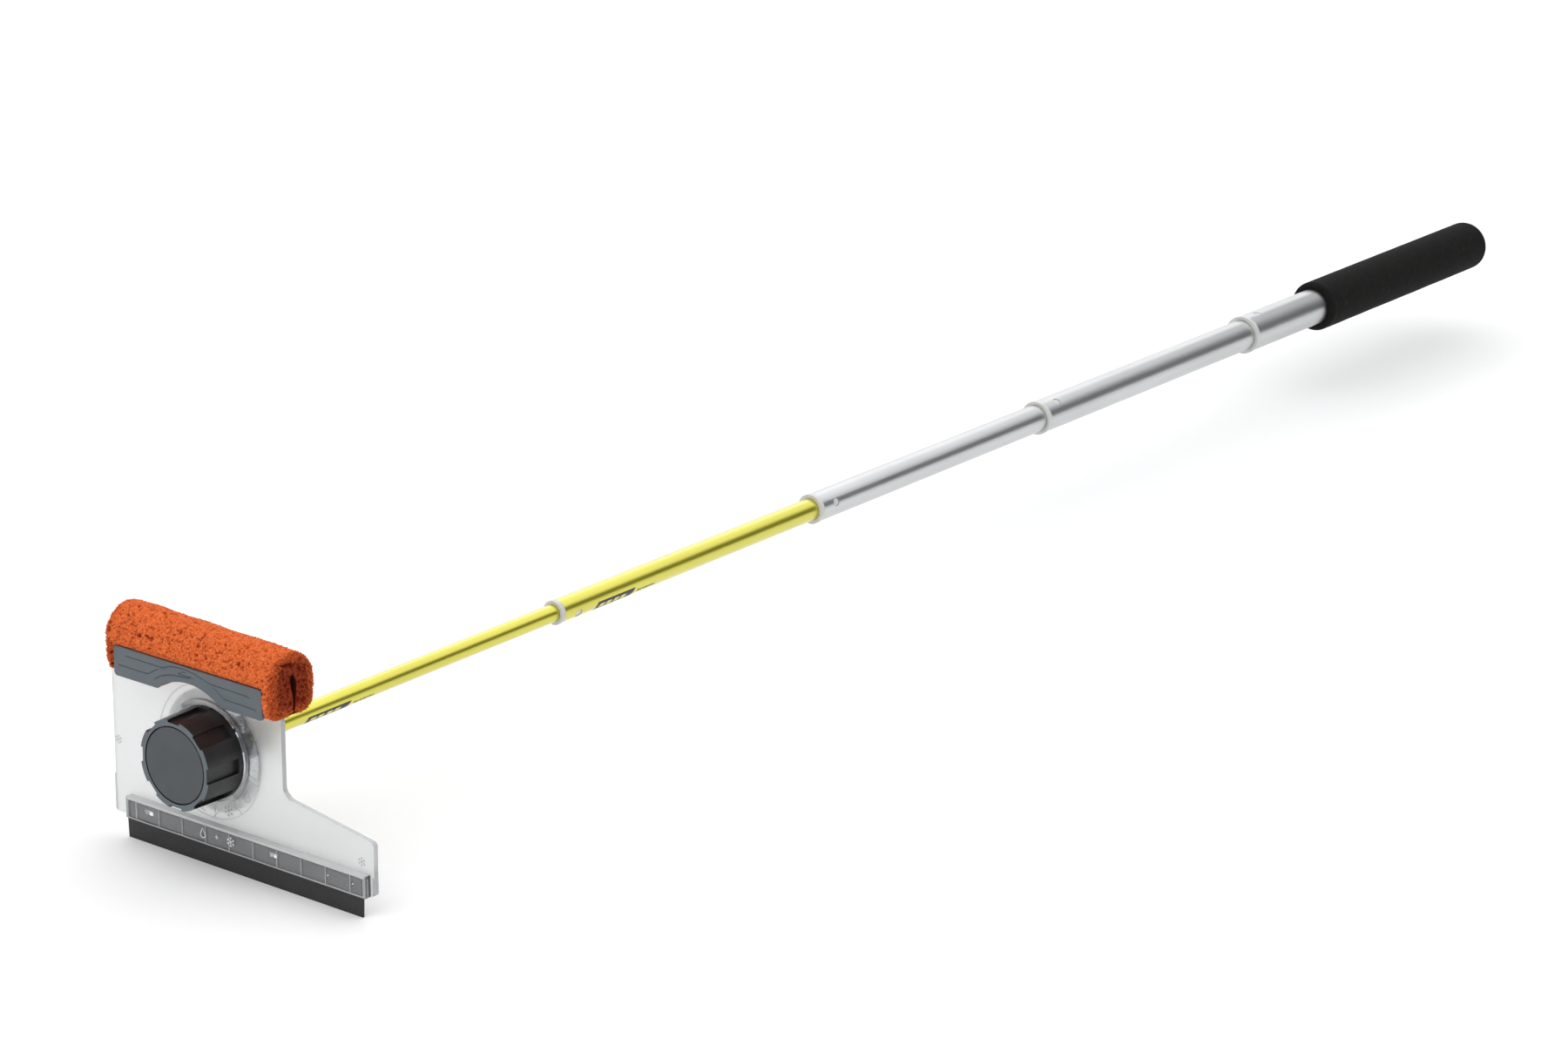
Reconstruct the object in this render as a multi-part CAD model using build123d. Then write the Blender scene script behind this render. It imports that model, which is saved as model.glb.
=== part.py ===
from build123d import *
import os

os.makedirs("parts", exist_ok=True)

# Telescopic window and ice tool: a clear scraper plate with a sponge and a squeegee on a
# five-section pole.  Millimetres, +Z up.  The pole runs along Y with the head at the -Y end.
# The origin is the middle of the foam grip, on the pole axis.  Shown fully drawn out.

# ---------------------------------------------------------------- pole
HANDLE_TUBE_DIAMETER = 25.0
TUBE_WALL = 1.0
SLEEVE_GAP = [1.0, 0.7, 1.0, 0.7]             # radial room for collar and bush, handle first
GRIP_LENGTH = 223.0
GRIP_WALL = 4.7
GRIP_END_WALL = 3.0
GRIP_END_ROUND = 9.0
GRIP_LIP_ROUND = 3.5
HANDLE_BARE = 88.0                            # handle tube showing in front of the grip
SECTION_2_SHOWN = 246.0                       # mouth to mouth, drawn out
SECTION_3_SHOWN = 236.5
SECTION_4_SHOWN = 235.0
SECTION_5_SHOWN = 268.0                       # mouth of section 4 to the back of the plate
COLLAR_LIP_LENGTH = 3.0
COLLAR_LIP_OVER = 0.3                         # lip stands this much proud of the tube
COLLAR_SLEEVE = 18.0
COLLAR_PIN_DIAMETER = 5.0
COLLAR_PIN_SETBACK = 12.0                     # pin hole behind the mouth
COLLAR_PIN_SUNK = 0.35
COLLAR_PIN_ROOT = 0.4                         # pin starts this far inside the sleeve
COLLAR_PIN_TURN = [80.0, 57.5, 17.5, -27.0]   # angle of each pin about the pole, from +X to +Z
BUSH_LENGTH = 12.0
BUSH_SPLIT = 1.6
BUSH_END = 1.0                                # bare tube behind the bush
PLUG_LENGTH = 12.0
PLUG_FLANGE = 1.6

# ---------------------------------------------------------------- clearances
SLIDE_FIT = 0.05                              # radial, sliding tubes in collars and bushes
STOP_GAP = 0.2                                # along the pole, bush to collar when drawn out
PIN_FIT = 0.1                                 # radial, collar pin in its hole
STUD_FIT = 0.05                               # radial, stud in plate bore and nut
SOCKET_FIT = 0.06                             # radial, adapter socket in the retainer bore
FACE_GAP = 0.15                               # along the pole, between turning faces
FREE_GAP = 0.3                                # between turning round faces that only pass
SOFT_GAP = 0.3                                # round the sponge

# ---------------------------------------------------------------- scraper plate
PLATE_THICKNESS = 3.0
PLATE_LEFT = -71.0
PLATE_RIGHT = 51.0
PLATE_TOP = 50.0
PLATE_BOTTOM = -50.5
NOTCH_START = -9.1                            # where the right edge begins to turn into the wing
NOTCH_BLEND_OUT = 4.1                         # from the right edge to the start of the wing top
NOTCH_BLEND_DOWN = 3.5
NOTCH_RADIUS = 5.0
WING_RIGHT = 112.8
WING_TOP = -21.2
PLATE_CORNER = 1.8
WING_CORNER = 2.5
ICE_EDGE_BEVEL = 1.1
ICE_EDGE_LEFT_LENGTH = 60.0
ICE_EDGE_LEFT_UP = 20.5                       # from the bottom of the plate
ICE_EDGE_WING_LENGTH = 10.5
HUB_RING_ROUND_KNOB = 1.2                     # radial room round the back of the knob
HUB_RING_WALL = 2.0
HUB_RING_HEIGHT = 2.2
HUB_BOSS_RADIUS = 9.0
HUB_BOSS_HEIGHT = 3.0
DIAL_RADIUS = 36.3
DIAL_LINE = 0.5
DIAL_DEPTH = 0.25
DIAL_LINE_TURNS = [-18.0, -54.0, -86.0]       # sector lines at lower right
DIAL_LINE_FROM = 29.5
SNAP_SLOT_LENGTH = 6.0
SNAP_SLOT_HEIGHT = 2.4
SNAP_INSET_LEFT = 15.8                        # from the left end of the holder
SNAP_INSET_RIGHT = 64.2                       # from the right end of the holder
SNAP_BELOW_ROOT = 3.0                         # below the top of the blade root
SNAP_FIT = 0.15
SNAP_PAST_PLATE = 0.8

# ---------------------------------------------------------------- squeegee
HOLDER_INSET_LEFT = 11.7                      # from the left edge of the plate
HOLDER_INSET_RIGHT = 2.6                      # from the end of the wing
HOLDER_HEIGHT = 12.0
HOLDER_WALL = 1.0
HOLDER_RIM = 0.7                              # raised rim round the panels
HOLDER_RIM_WIDTH = 1.6
RIB_PITCH = 16.86
RIB_INSET = 7.1                               # first rib from the left end of the holder
RIB_WIDTH = 0.7
RIB_SUNK = 0.2                                # ribs stop this far behind the rim
BLADE_OVER_LEFT = 0.7                         # blade stands out of the open left end
BLADE_INSET_RIGHT = 4.0
BLADE_DROP = 11.8                             # below the holder
BLADE_THICKNESS = 2.0
BLADE_TIP = 1.2
BLADE_ROOT = 9.0                              # height held inside the holder
BLADE_FIT = 0.05
BLADE_BACK_GAP = 0.3                          # blade to plate

# ---------------------------------------------------------------- sponge and its clamp bars
SPONGE_PAST_BAR_LEFT = 4.5
SPONGE_PAST_BAR_RIGHT = 9.0
SPONGE_BELOW_TOP = 17.0                       # below the top of the plate
SPONGE_ABOVE_TOP = 19.0
SPONGE_THICKNESS = 33.0
SPONGE_ROUND = 13.0
SPONGE_SLOT_OVER = 1.5                        # slot runs this far above the plate top
BAR_INSET_LEFT = 15.5                         # from the left edge of the plate
BAR_INSET_RIGHT = 1.0
BAR_BELOW_TOP = 1.4                           # below the top of the plate
BAR_HEIGHT = 16.6
BAR_THICKNESS = 2.0
BAR_STANDOFF = 10.0                           # plate face to the inside of each bar
BAR_CORNER = 2.2
BAR_ARCH_RADIUS = 37.0
BAR_ARCH_X = -1.9
BAR_ARCH_Z = 2.7
BAR_ARCH_SPONGE_SHOWS = 0.4                   # sponge edge inside the arch
BAR_SCREW_INSET = 7.5                         # end screws from the ends of the bar
BAR_POST_RADIUS = 3.0
BAR_POST_BELOW = 4.1                          # below the top of the bar
BAR_SCREW_RADIUS = 1.5
BAR_SCREW_HEAD_RADIUS = 2.8
BAR_SCREW_HEAD = 1.6
BAR_SCREW_SLOT = 0.8
BAR_SCREW_SLOT_DEPTH = 0.7
BAR_SCREW_SHORT = 2.5                         # screw end behind the face of the front bar
BAR_GROOVE = 0.5                              # width of the engraved lines
BAR_GROOVE_DEPTH = 0.4
# points of the engraved lines, (x, z) from the middle of the bar's top edge
BAR_LINES = [
    [(-43.8, -4.2), (-17.4, -4.3), (-13.0, -2.7), (-9.4, -1.9), (-2.4, -1.4), (6.2, -2.3),
     (16.4, -5.1), (43.0, -5.6), (44.2, -6.6)],
    [(-49.1, -10.1), (-28.2, -10.2), (-20.0, -5.6)],
    [(-23.0, -11.9), (-19.4, -9.5), (-14.8, -7.7), (-9.6, -6.4), (2.6, -5.5)],
    [(4.0, -4.8), (-5.6, -4.8), (-2.9, -3.2), (-0.7, -3.1)],
    [(19.4, -6.7), (26.0, -11.0), (47.4, -11.4), (48.6, -12.4)],
]

# ---------------------------------------------------------------- knob
KNOB_FACE = 25.3                              # face ahead of the plate
KNOB_FRONT_RADIUS = 24.3
KNOB_BACK_RADIUS = 25.0
KNOB_LIFT = 0.9                               # back of the knob ahead of the plate
KNOB_WALL = 3.2
KNOB_FRONT_WALL = 5.0
KNOB_LOBES = 8
KNOB_POCKET_WIDTH = 8.2
KNOB_POCKET_DEPTH = 1.6
KNOB_POCKET_BACK = 4.2                        # pockets stop this far ahead of the plate
KNOB_POCKET_TURN = -1.0
KNOB_BOSS_WALL = 2.5                          # outside the corners of the nut
KNOB_RING_WIDTH = 3.3                         # ring of the knob face outside the cap
CAP_RING_GAP = 0.7
CAP_THICKNESS = 2.2
CAP_SPIGOT_RADIUS = 12.0
CAP_SPIGOT_HEIGHT = 1.6
STUD_DIAMETER = 8.0
STUD_PAST_NUT = 3.25
NUT_WALL = 2.5                                # outside the stud, across flats
NUT_LENGTH = 9.0
THRUST_WASHER_WIDTH = 4.5                     # outside the stud
THRUST_WASHER_THICKNESS = 1.6

# ---------------------------------------------------------------- pole adapter and retainer
FLANGE_WIDTH = 6.5                            # outside the socket
FLANGE_THICKNESS = 4.0
FRICTION_WASHER_THICKNESS = 1.0
FRICTION_WASHER_INSET = 2.0
SOCKET_WALL = 6.4
SOCKET_LENGTH = 41.0                          # behind the back of the plate
SOCKET_TUBE_DEPTH = 22.0
SOCKET_TAPER_LENGTH = 6.0
SOCKET_TAPER = 3.0
STUD_ROOT = 12.0                              # stud end behind the back of the plate
STUD_HEAD_OVER = 2.0                          # head outside the stud, radially
STUD_HEAD = 3.0
CROSS_PIN_DIAMETER = 3.0
CROSS_PIN_FROM_END = 13.0
CROSS_PIN_SUNK = 0.5
FLANGE_ROOM = 0.5
RETAINER_FLANGE = 12.1                        # base outside the ring
RETAINER_WALL = 2.4
RETAINER_SCREW_OUT = 6.6                      # screw circle outside the ring
RETAINER_POST_HEIGHT = 4.4
RETAINER_SCREW_BITE = 2.2                     # into the plate
RETAINER_SCREW_TURNS = [41.0, 131.0, 221.0, 311.0]
RETAINER_SCREW_RADIUS = 1.25
RETAINER_SCREW_HEAD_RADIUS = 2.4
RETAINER_SCREW_HEAD = 1.2
RETAINER_POST_RADIUS = 3.6

# ---------------------------------------------------------------- sizes that follow
TUBE_OD = [HANDLE_TUBE_DIAMETER]
for gap in SLEEVE_GAP:
    TUBE_OD.append(TUBE_OD[-1] - 2 * (TUBE_WALL + gap))
GRIP_RADIUS = HANDLE_TUBE_DIAMETER / 2 + GRIP_WALL
CAP_RADIUS = KNOB_FRONT_RADIUS - KNOB_RING_WIDTH - CAP_RING_GAP
HOLDER_LEFT = PLATE_LEFT + HOLDER_INSET_LEFT
HOLDER_RIGHT = WING_RIGHT - HOLDER_INSET_RIGHT
HOLDER_BOTTOM = PLATE_BOTTOM
HOLDER_TOP = PLATE_BOTTOM + HOLDER_HEIGHT
HOLDER_DEPTH = HOLDER_RIM + HOLDER_WALL + BLADE_THICKNESS + BLADE_BACK_GAP
BLADE_LEFT = HOLDER_LEFT - BLADE_OVER_LEFT
BLADE_RIGHT = HOLDER_RIGHT - BLADE_INSET_RIGHT
BLADE_BOTTOM = HOLDER_BOTTOM - BLADE_DROP
BLADE_ROOT_TOP = HOLDER_BOTTOM + BLADE_ROOT
SNAP_SLOT_X = [HOLDER_LEFT + SNAP_INSET_LEFT, HOLDER_RIGHT - SNAP_INSET_RIGHT]
SNAP_SLOT_Z = BLADE_ROOT_TOP - SNAP_BELOW_ROOT
BAR_LEFT = PLATE_LEFT + BAR_INSET_LEFT
BAR_RIGHT = PLATE_RIGHT - BAR_INSET_RIGHT
BAR_TOP = PLATE_TOP - BAR_BELOW_TOP
BAR_BOTTOM = BAR_TOP - BAR_HEIGHT
BAR_SCREW_X = [BAR_LEFT + BAR_SCREW_INSET, (BAR_LEFT + BAR_RIGHT) / 2, BAR_RIGHT - BAR_SCREW_INSET]
BAR_POST_Z = BAR_TOP - BAR_POST_BELOW
SPONGE_LEFT = BAR_LEFT - SPONGE_PAST_BAR_LEFT
SPONGE_RIGHT = BAR_RIGHT + SPONGE_PAST_BAR_RIGHT
SPONGE_BOTTOM = PLATE_TOP - SPONGE_BELOW_TOP
SPONGE_TOP = PLATE_TOP + SPONGE_ABOVE_TOP
STUD_RADIUS = STUD_DIAMETER / 2
STUD_FRONT = (HUB_BOSS_HEIGHT + FACE_GAP + THRUST_WASHER_THICKNESS + NUT_LENGTH + STUD_PAST_NUT)
SOCKET_RADIUS = TUBE_OD[4] / 2 + SOCKET_WALL
FLANGE_RADIUS = SOCKET_RADIUS + FLANGE_WIDTH

# ---------------------------------------------------------------- stations along the pole
GRIP_FRONT = -GRIP_LENGTH / 2
GRIP_BACK = GRIP_LENGTH / 2
MOUTH = [GRIP_FRONT - HANDLE_BARE]
for shown in (SECTION_2_SHOWN, SECTION_3_SHOWN, SECTION_4_SHOWN):
    MOUTH.append(MOUTH[-1] - shown)
PLATE_BACK = MOUTH[3] - SECTION_5_SHOWN
FRONT = PLATE_BACK - PLATE_THICKNESS          # front face of the plate
INSERT = COLLAR_SLEEVE + STOP_GAP + BUSH_LENGTH + BUSH_END


def rod(radius, y0, y1, x=0.0, z=0.0):
    """Round bar along Y from y0 to y1."""
    return Pos(x, (y0 + y1) / 2, z) * Rot(90, 0, 0) * Cylinder(radius, abs(y1 - y0))


def pipe(outer, inner, y0, y1, x=0.0, z=0.0):
    return rod(outer, y0, y1, x, z) - rod(inner, y0 - 1, y1 + 1, x, z)


def block(x0, x1, y0, y1, z0, z1):
    return Pos((x0 + x1) / 2, (y0 + y1) / 2, (z0 + z1) / 2) * Box(x1 - x0, y1 - y0, z1 - z0)


def slab(outline, y0, y1):
    """Flat piece from an outline drawn in X and Z, reaching from y0 to y1."""
    return extrude(Plane((0, y1, 0), x_dir=(1, 0, 0), z_dir=(0, -1, 0)) * outline, y1 - y0)


def strip(points, width):
    """Outline of a line of one width through the points, with mitred corners."""
    sides = []
    for k, (x, z) in enumerate(points):
        before, after = points[max(0, k - 1)], points[min(len(points) - 1, k + 1)]
        run_in = Vector(x - before[0], z - before[1]) if k else Vector(after[0] - x, after[1] - z)
        run_out = Vector(after[0] - x, after[1] - z) if k < len(points) - 1 else run_in
        along = run_in.normalized() + run_out.normalized()
        reach = width / along.length ** 2
        sides.append((Vector(x, z), Vector(-along.Y, along.X) * reach))
    outline = [p + s for p, s in sides] + [p - s for p, s in reversed(sides)]
    return make_face(Polyline(*outline, close=True))


def radial(radius, r0, r1, y, turn):
    """Round peg pointing outward from the pole axis, from +X towards +Z by the turn."""
    return Rot(0, -turn, 0) * Pos((r0 + r1) / 2, y, 0) * Rot(0, 90, 0) * Cylinder(radius, r1 - r0)


def save(shape, name):
    export_step(shape, "parts/" + name + ".step")


# ================================================================ pole sections
tube_ends = [GRIP_BACK - GRIP_END_WALL - PLUG_FLANGE]
tube_ends += [MOUTH[k] + INSERT for k in range(4)]
socket_end = PLATE_BACK + SOCKET_LENGTH
cross_pin_y = socket_end - CROSS_PIN_FROM_END
tube_fronts = MOUTH + [socket_end - SOCKET_TUBE_DEPTH]

for k in range(5):
    outer = TUBE_OD[k] / 2
    tube = pipe(outer, outer - TUBE_WALL, tube_fronts[k], tube_ends[k])
    if k < 4:
        # hole near the mouth that the collar pin snaps into
        tube -= radial(COLLAR_PIN_DIAMETER / 2 + PIN_FIT, outer - 3, outer + 2,
                       MOUTH[k] + COLLAR_PIN_SETBACK, COLLAR_PIN_TURN[k])
    else:
        # cross hole for the pin that holds the head adapter
        tube -= Pos(0, cross_pin_y, 0) * Cylinder(CROSS_PIN_DIAMETER / 2, 4 * outer)
    save(tube, ["handle_tube", "tube_2", "tube_3", "tube_4", "tube_5"][k])

for k in range(4):
    # collar in the mouth of section k, bored to slide on the next section
    outer = TUBE_OD[k] / 2
    bore = TUBE_OD[k + 1] / 2 + SLIDE_FIT
    seat = outer - TUBE_WALL
    lip = pipe(outer + COLLAR_LIP_OVER, bore, MOUTH[k] - COLLAR_LIP_LENGTH, MOUTH[k])
    sleeve = pipe(seat, bore, MOUTH[k], MOUTH[k] + COLLAR_SLEEVE)
    pin_place = MOUTH[k] + COLLAR_PIN_SETBACK
    pin = radial(COLLAR_PIN_DIAMETER / 2, seat - COLLAR_PIN_ROOT, outer, pin_place, COLLAR_PIN_TURN[k])
    pin &= rod(outer - COLLAR_PIN_SUNK, pin_place - COLLAR_PIN_DIAMETER, pin_place + COLLAR_PIN_DIAMETER)
    save(lip + sleeve + pin, "collar_%d" % (k + 1))

    # split friction bush on the back end of the next section
    inner = TUBE_OD[k + 1] / 2
    run = seat - SLIDE_FIT
    y1 = tube_ends[k + 1] - BUSH_END
    bush = pipe(run, inner, y1 - BUSH_LENGTH, y1)
    bush -= block(-BUSH_SPLIT / 2, BUSH_SPLIT / 2, y1 - BUSH_LENGTH - 1, y1 + 1, 0, run + 1)
    save(bush, "bush_%d" % (k + 2))

# ================================================================ grip and plug
handle_radius = TUBE_OD[0] / 2
grip = rod(GRIP_RADIUS, GRIP_FRONT, GRIP_BACK)
rims = grip.edges().filter_by(GeomType.CIRCLE).sort_by(Axis.Y)
grip = fillet(rims[-1:], GRIP_END_ROUND)
rims = grip.edges().filter_by(GeomType.CIRCLE).sort_by(Axis.Y)
grip = fillet(rims[0:1], GRIP_LIP_ROUND)
grip -= rod(handle_radius, GRIP_FRONT - 1, GRIP_BACK - GRIP_END_WALL)
save(grip, "foam_grip")

plug_seat = tube_ends[0]
plug = rod(handle_radius - TUBE_WALL, plug_seat - PLUG_LENGTH, plug_seat)
plug += rod(handle_radius, plug_seat, plug_seat + PLUG_FLANGE)
plug -= rod(handle_radius - 4, plug_seat - PLUG_LENGTH - 1, plug_seat - 2)
save(plug, "end_plug")

# ================================================================ scraper plate
notch_x = PLATE_RIGHT + NOTCH_BLEND_OUT
notch_z = NOTCH_START - NOTCH_BLEND_DOWN
outline = Polyline(
    (PLATE_LEFT, PLATE_BOTTOM), (WING_RIGHT, PLATE_BOTTOM), (WING_RIGHT, WING_TOP),
    (notch_x, notch_z), (PLATE_RIGHT, NOTCH_START), (PLATE_RIGHT, PLATE_TOP),
    (PLATE_LEFT, PLATE_TOP), close=True)
face = make_face(outline)
for x, z, radius in ((PLATE_LEFT, PLATE_BOTTOM, PLATE_CORNER), (PLATE_LEFT, PLATE_TOP, PLATE_CORNER),
                     (WING_RIGHT, PLATE_BOTTOM, WING_CORNER), (WING_RIGHT, WING_TOP, WING_CORNER),
                     (notch_x, notch_z, NOTCH_RADIUS), (PLATE_RIGHT, NOTCH_START, NOTCH_RADIUS)):
    corner = [v for v in face.vertices() if abs(v.X - x) < 0.05 and abs(v.Y - z) < 0.05]
    face = fillet(corner, radius)
plate = slab(face, FRONT, PLATE_BACK)

# bevelled ice edges on the left side and on the end of the wing
edge_left = make_face(Polyline((PLATE_LEFT - 1, 0), (PLATE_LEFT + ICE_EDGE_BEVEL, 0),
                               (PLATE_LEFT - 1, ICE_EDGE_BEVEL + 1), close=True))
edge_middle = PLATE_BOTTOM + ICE_EDGE_LEFT_UP + ICE_EDGE_LEFT_LENGTH / 2
cut = Pos(0, FRONT, edge_middle) * extrude(Plane.XY * edge_left, ICE_EDGE_LEFT_LENGTH / 2, both=True)
plate -= cut
edge_right = make_face(Polyline((WING_RIGHT + 1, 0), (WING_RIGHT - ICE_EDGE_BEVEL, 0),
                                (WING_RIGHT + 1, ICE_EDGE_BEVEL + 1), close=True))
edge_middle = PLATE_BOTTOM + ICE_EDGE_WING_LENGTH / 2
cut = Pos(0, FRONT, edge_middle) * extrude(Plane.XY * edge_right, ICE_EDGE_WING_LENGTH / 2, both=True)
plate -= cut

ring_inner = KNOB_BACK_RADIUS + HUB_RING_ROUND_KNOB
plate += pipe(ring_inner + HUB_RING_WALL, ring_inner, FRONT - HUB_RING_HEIGHT, FRONT)
plate += rod(HUB_BOSS_RADIUS, FRONT - HUB_BOSS_HEIGHT, FRONT)
plate -= rod(STUD_RADIUS + STUD_FIT, FRONT - HUB_BOSS_HEIGHT - 1, PLATE_BACK + 1)
plate -= pipe(DIAL_RADIUS, DIAL_RADIUS - DIAL_LINE, FRONT - 0.1, FRONT + DIAL_DEPTH)
for turn in DIAL_LINE_TURNS:
    plate -= Rot(0, -turn, 0) * block(DIAL_LINE_FROM, DIAL_RADIUS - DIAL_LINE / 2, FRONT - 0.1,
                                      FRONT + DIAL_DEPTH, -DIAL_LINE / 2, DIAL_LINE / 2)
for x in SNAP_SLOT_X:
    plate -= block(x - SNAP_SLOT_LENGTH / 2, x + SNAP_SLOT_LENGTH / 2, FRONT - 1, PLATE_BACK + 1,
                   SNAP_SLOT_Z - SNAP_SLOT_HEIGHT / 2, SNAP_SLOT_Z + SNAP_SLOT_HEIGHT / 2)
for x in BAR_SCREW_X:
    plate -= rod(BAR_SCREW_RADIUS, FRONT - 1, PLATE_BACK + 1, x, BAR_POST_Z)

# ================================================================ squeegee holder and blade
hy = FRONT - HOLDER_DEPTH
holder = block(HOLDER_LEFT, HOLDER_RIGHT, hy, FRONT, HOLDER_BOTTOM, HOLDER_TOP)
holder -= block(HOLDER_LEFT + HOLDER_RIM_WIDTH, HOLDER_RIGHT - HOLDER_RIM_WIDTH, hy - 1, hy + HOLDER_RIM,
                HOLDER_BOTTOM + HOLDER_RIM_WIDTH / 2, HOLDER_TOP - HOLDER_RIM_WIDTH)
rib_count = int((HOLDER_RIGHT - HOLDER_LEFT - 2 * RIB_INSET) / RIB_PITCH) + 1
for n in range(rib_count):
    x = HOLDER_LEFT + RIB_INSET + n * RIB_PITCH
    holder += block(x - RIB_WIDTH / 2, x + RIB_WIDTH / 2, hy + RIB_SUNK, hy + HOLDER_RIM,
                    HOLDER_BOTTOM + HOLDER_RIM_WIDTH / 2, HOLDER_TOP - HOLDER_RIM_WIDTH)
blade_front = hy + HOLDER_RIM + HOLDER_WALL
blade_back = blade_front + BLADE_THICKNESS
holder -= block(HOLDER_LEFT - 1, BLADE_RIGHT + BLADE_FIT, blade_front - BLADE_FIT,
                FRONT + 1, HOLDER_BOTTOM - 1, BLADE_ROOT_TOP + BLADE_FIT)
for x in SNAP_SLOT_X:
    # snap tongues that pass through the blade root and the plate
    holder += block(x - SNAP_SLOT_LENGTH / 2 + SNAP_FIT, x + SNAP_SLOT_LENGTH / 2 - SNAP_FIT,
                    hy + HOLDER_RIM + HOLDER_WALL / 2, PLATE_BACK + SNAP_PAST_PLATE,
                    SNAP_SLOT_Z - SNAP_SLOT_HEIGHT / 2 + SNAP_FIT,
                    SNAP_SLOT_Z + SNAP_SLOT_HEIGHT / 2 - SNAP_FIT)
save(holder, "squeegee_holder")

root_outline = make_face(Polyline(
    (blade_front, BLADE_ROOT_TOP), (blade_back, BLADE_ROOT_TOP), (blade_back, HOLDER_BOTTOM),
    (blade_front + (BLADE_THICKNESS + BLADE_TIP) / 2, BLADE_BOTTOM),
    (blade_front + (BLADE_THICKNESS - BLADE_TIP) / 2, BLADE_BOTTOM), (blade_front, HOLDER_BOTTOM),
    close=True))
blade = extrude(Plane.YZ * root_outline, BLADE_RIGHT - BLADE_LEFT)
blade = Pos(BLADE_LEFT - blade.bounding_box().min.X, 0, 0) * blade
for x in SNAP_SLOT_X:
    blade -= block(x - SNAP_SLOT_LENGTH / 2 - SNAP_FIT, x + SNAP_SLOT_LENGTH / 2 + SNAP_FIT,
                   blade_front - 1, blade_back + 1, SNAP_SLOT_Z - SNAP_SLOT_HEIGHT / 2 - SNAP_FIT,
                   SNAP_SLOT_Z + SNAP_SLOT_HEIGHT / 2 + SNAP_FIT)
save(blade, "squeegee_blade")

# ================================================================ sponge and clamp bars


def bar(inside, outside, face, post_end):
    """Clamp bar with its arch over the knob and three posts that meet the plate."""
    shape = make_face(Polyline((BAR_LEFT, BAR_BOTTOM), (BAR_RIGHT, BAR_BOTTOM), (BAR_RIGHT, BAR_TOP),
                               (BAR_LEFT, BAR_TOP), close=True))
    shape = fillet(shape.vertices(), BAR_CORNER)
    body = slab(shape, min(inside, outside), max(inside, outside))
    body -= rod(BAR_ARCH_RADIUS, min(inside, outside) - 1, max(inside, outside) + 1,
                BAR_ARCH_X, BAR_ARCH_Z)
    for x in BAR_SCREW_X:
        body += rod(BAR_POST_RADIUS, min(inside, post_end), max(inside, post_end), x, BAR_POST_Z)
    y0, y1 = sorted((outside - face, outside + face * BAR_GROOVE_DEPTH))
    middle = (BAR_LEFT + BAR_RIGHT) / 2
    for line in BAR_LINES:
        body -= slab(strip([(middle + face * x, BAR_TOP + z) for x, z in line], BAR_GROOVE), y0, y1)
    return body


front_in = FRONT - BAR_STANDOFF
front_out = front_in - BAR_THICKNESS
rear_in = PLATE_BACK + BAR_STANDOFF
rear_out = rear_in + BAR_THICKNESS
bar_front = bar(front_in, front_out, 1, FRONT)
bar_rear = bar(rear_in, rear_out, -1, PLATE_BACK)
screw_end = front_out + BAR_SCREW_SHORT
screws = []
for x in BAR_SCREW_X:
    shank = rod(BAR_SCREW_RADIUS, screw_end, rear_out, x, BAR_POST_Z)
    head = rod(BAR_SCREW_HEAD_RADIUS, rear_out, rear_out + BAR_SCREW_HEAD, x, BAR_POST_Z)
    slot = block(x - BAR_SCREW_RADIUS, x + BAR_SCREW_RADIUS,
                 rear_out + BAR_SCREW_HEAD - BAR_SCREW_SLOT_DEPTH, rear_out + BAR_SCREW_HEAD + 1,
                 BAR_POST_Z - BAR_SCREW_SLOT / 2, BAR_POST_Z + BAR_SCREW_SLOT / 2)
    screws.append(shank + head - slot)
    bar_front -= rod(BAR_SCREW_RADIUS, screw_end, FRONT + 1, x, BAR_POST_Z)
    bar_rear -= rod(BAR_SCREW_RADIUS, PLATE_BACK - 1, rear_out + 1, x, BAR_POST_Z)
save(bar_front, "clamp_bar_front")
save(bar_rear, "clamp_bar_rear")
save(Compound(children=screws), "clamp_screws")

middle = FRONT + PLATE_THICKNESS / 2
sponge_outline = make_face(Polyline(
    (middle - SPONGE_THICKNESS / 2, SPONGE_BOTTOM), (middle + SPONGE_THICKNESS / 2, SPONGE_BOTTOM),
    (middle + SPONGE_THICKNESS / 2, SPONGE_TOP), (middle - SPONGE_THICKNESS / 2, SPONGE_TOP), close=True))
tops = [v for v in sponge_outline.vertices() if v.Y > SPONGE_TOP - 0.1]
sponge_outline = fillet(tops, SPONGE_ROUND)
sponge = extrude(Plane.YZ * sponge_outline, SPONGE_RIGHT - SPONGE_LEFT)
sponge = Pos(SPONGE_LEFT - sponge.bounding_box().min.X, 0, 0) * sponge
# slot that sits over the top of the plate
sponge -= block(SPONGE_LEFT - 1, PLATE_RIGHT + SOFT_GAP, FRONT - SOFT_GAP, PLATE_BACK + SOFT_GAP,
                SPONGE_BOTTOM - 1, PLATE_TOP + SPONGE_SLOT_OVER)
# squeezed thin under the two bars
for y0, y1 in ((front_out - 20, front_in + SOFT_GAP), (rear_in - SOFT_GAP, rear_out + 20)):
    sponge -= block(BAR_LEFT - SOFT_GAP, BAR_RIGHT + SOFT_GAP, y0, y1, SPONGE_BOTTOM - 1,
                    BAR_TOP + SOFT_GAP)
sponge -= rod(BAR_ARCH_RADIUS - BAR_ARCH_SPONGE_SHOWS, front_out - 20, rear_out + 20, BAR_ARCH_X, BAR_ARCH_Z)
for x in BAR_SCREW_X:
    sponge -= rod(BAR_POST_RADIUS + SOFT_GAP, front_out, rear_out, x, BAR_POST_Z)
save(sponge, "sponge")

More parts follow.
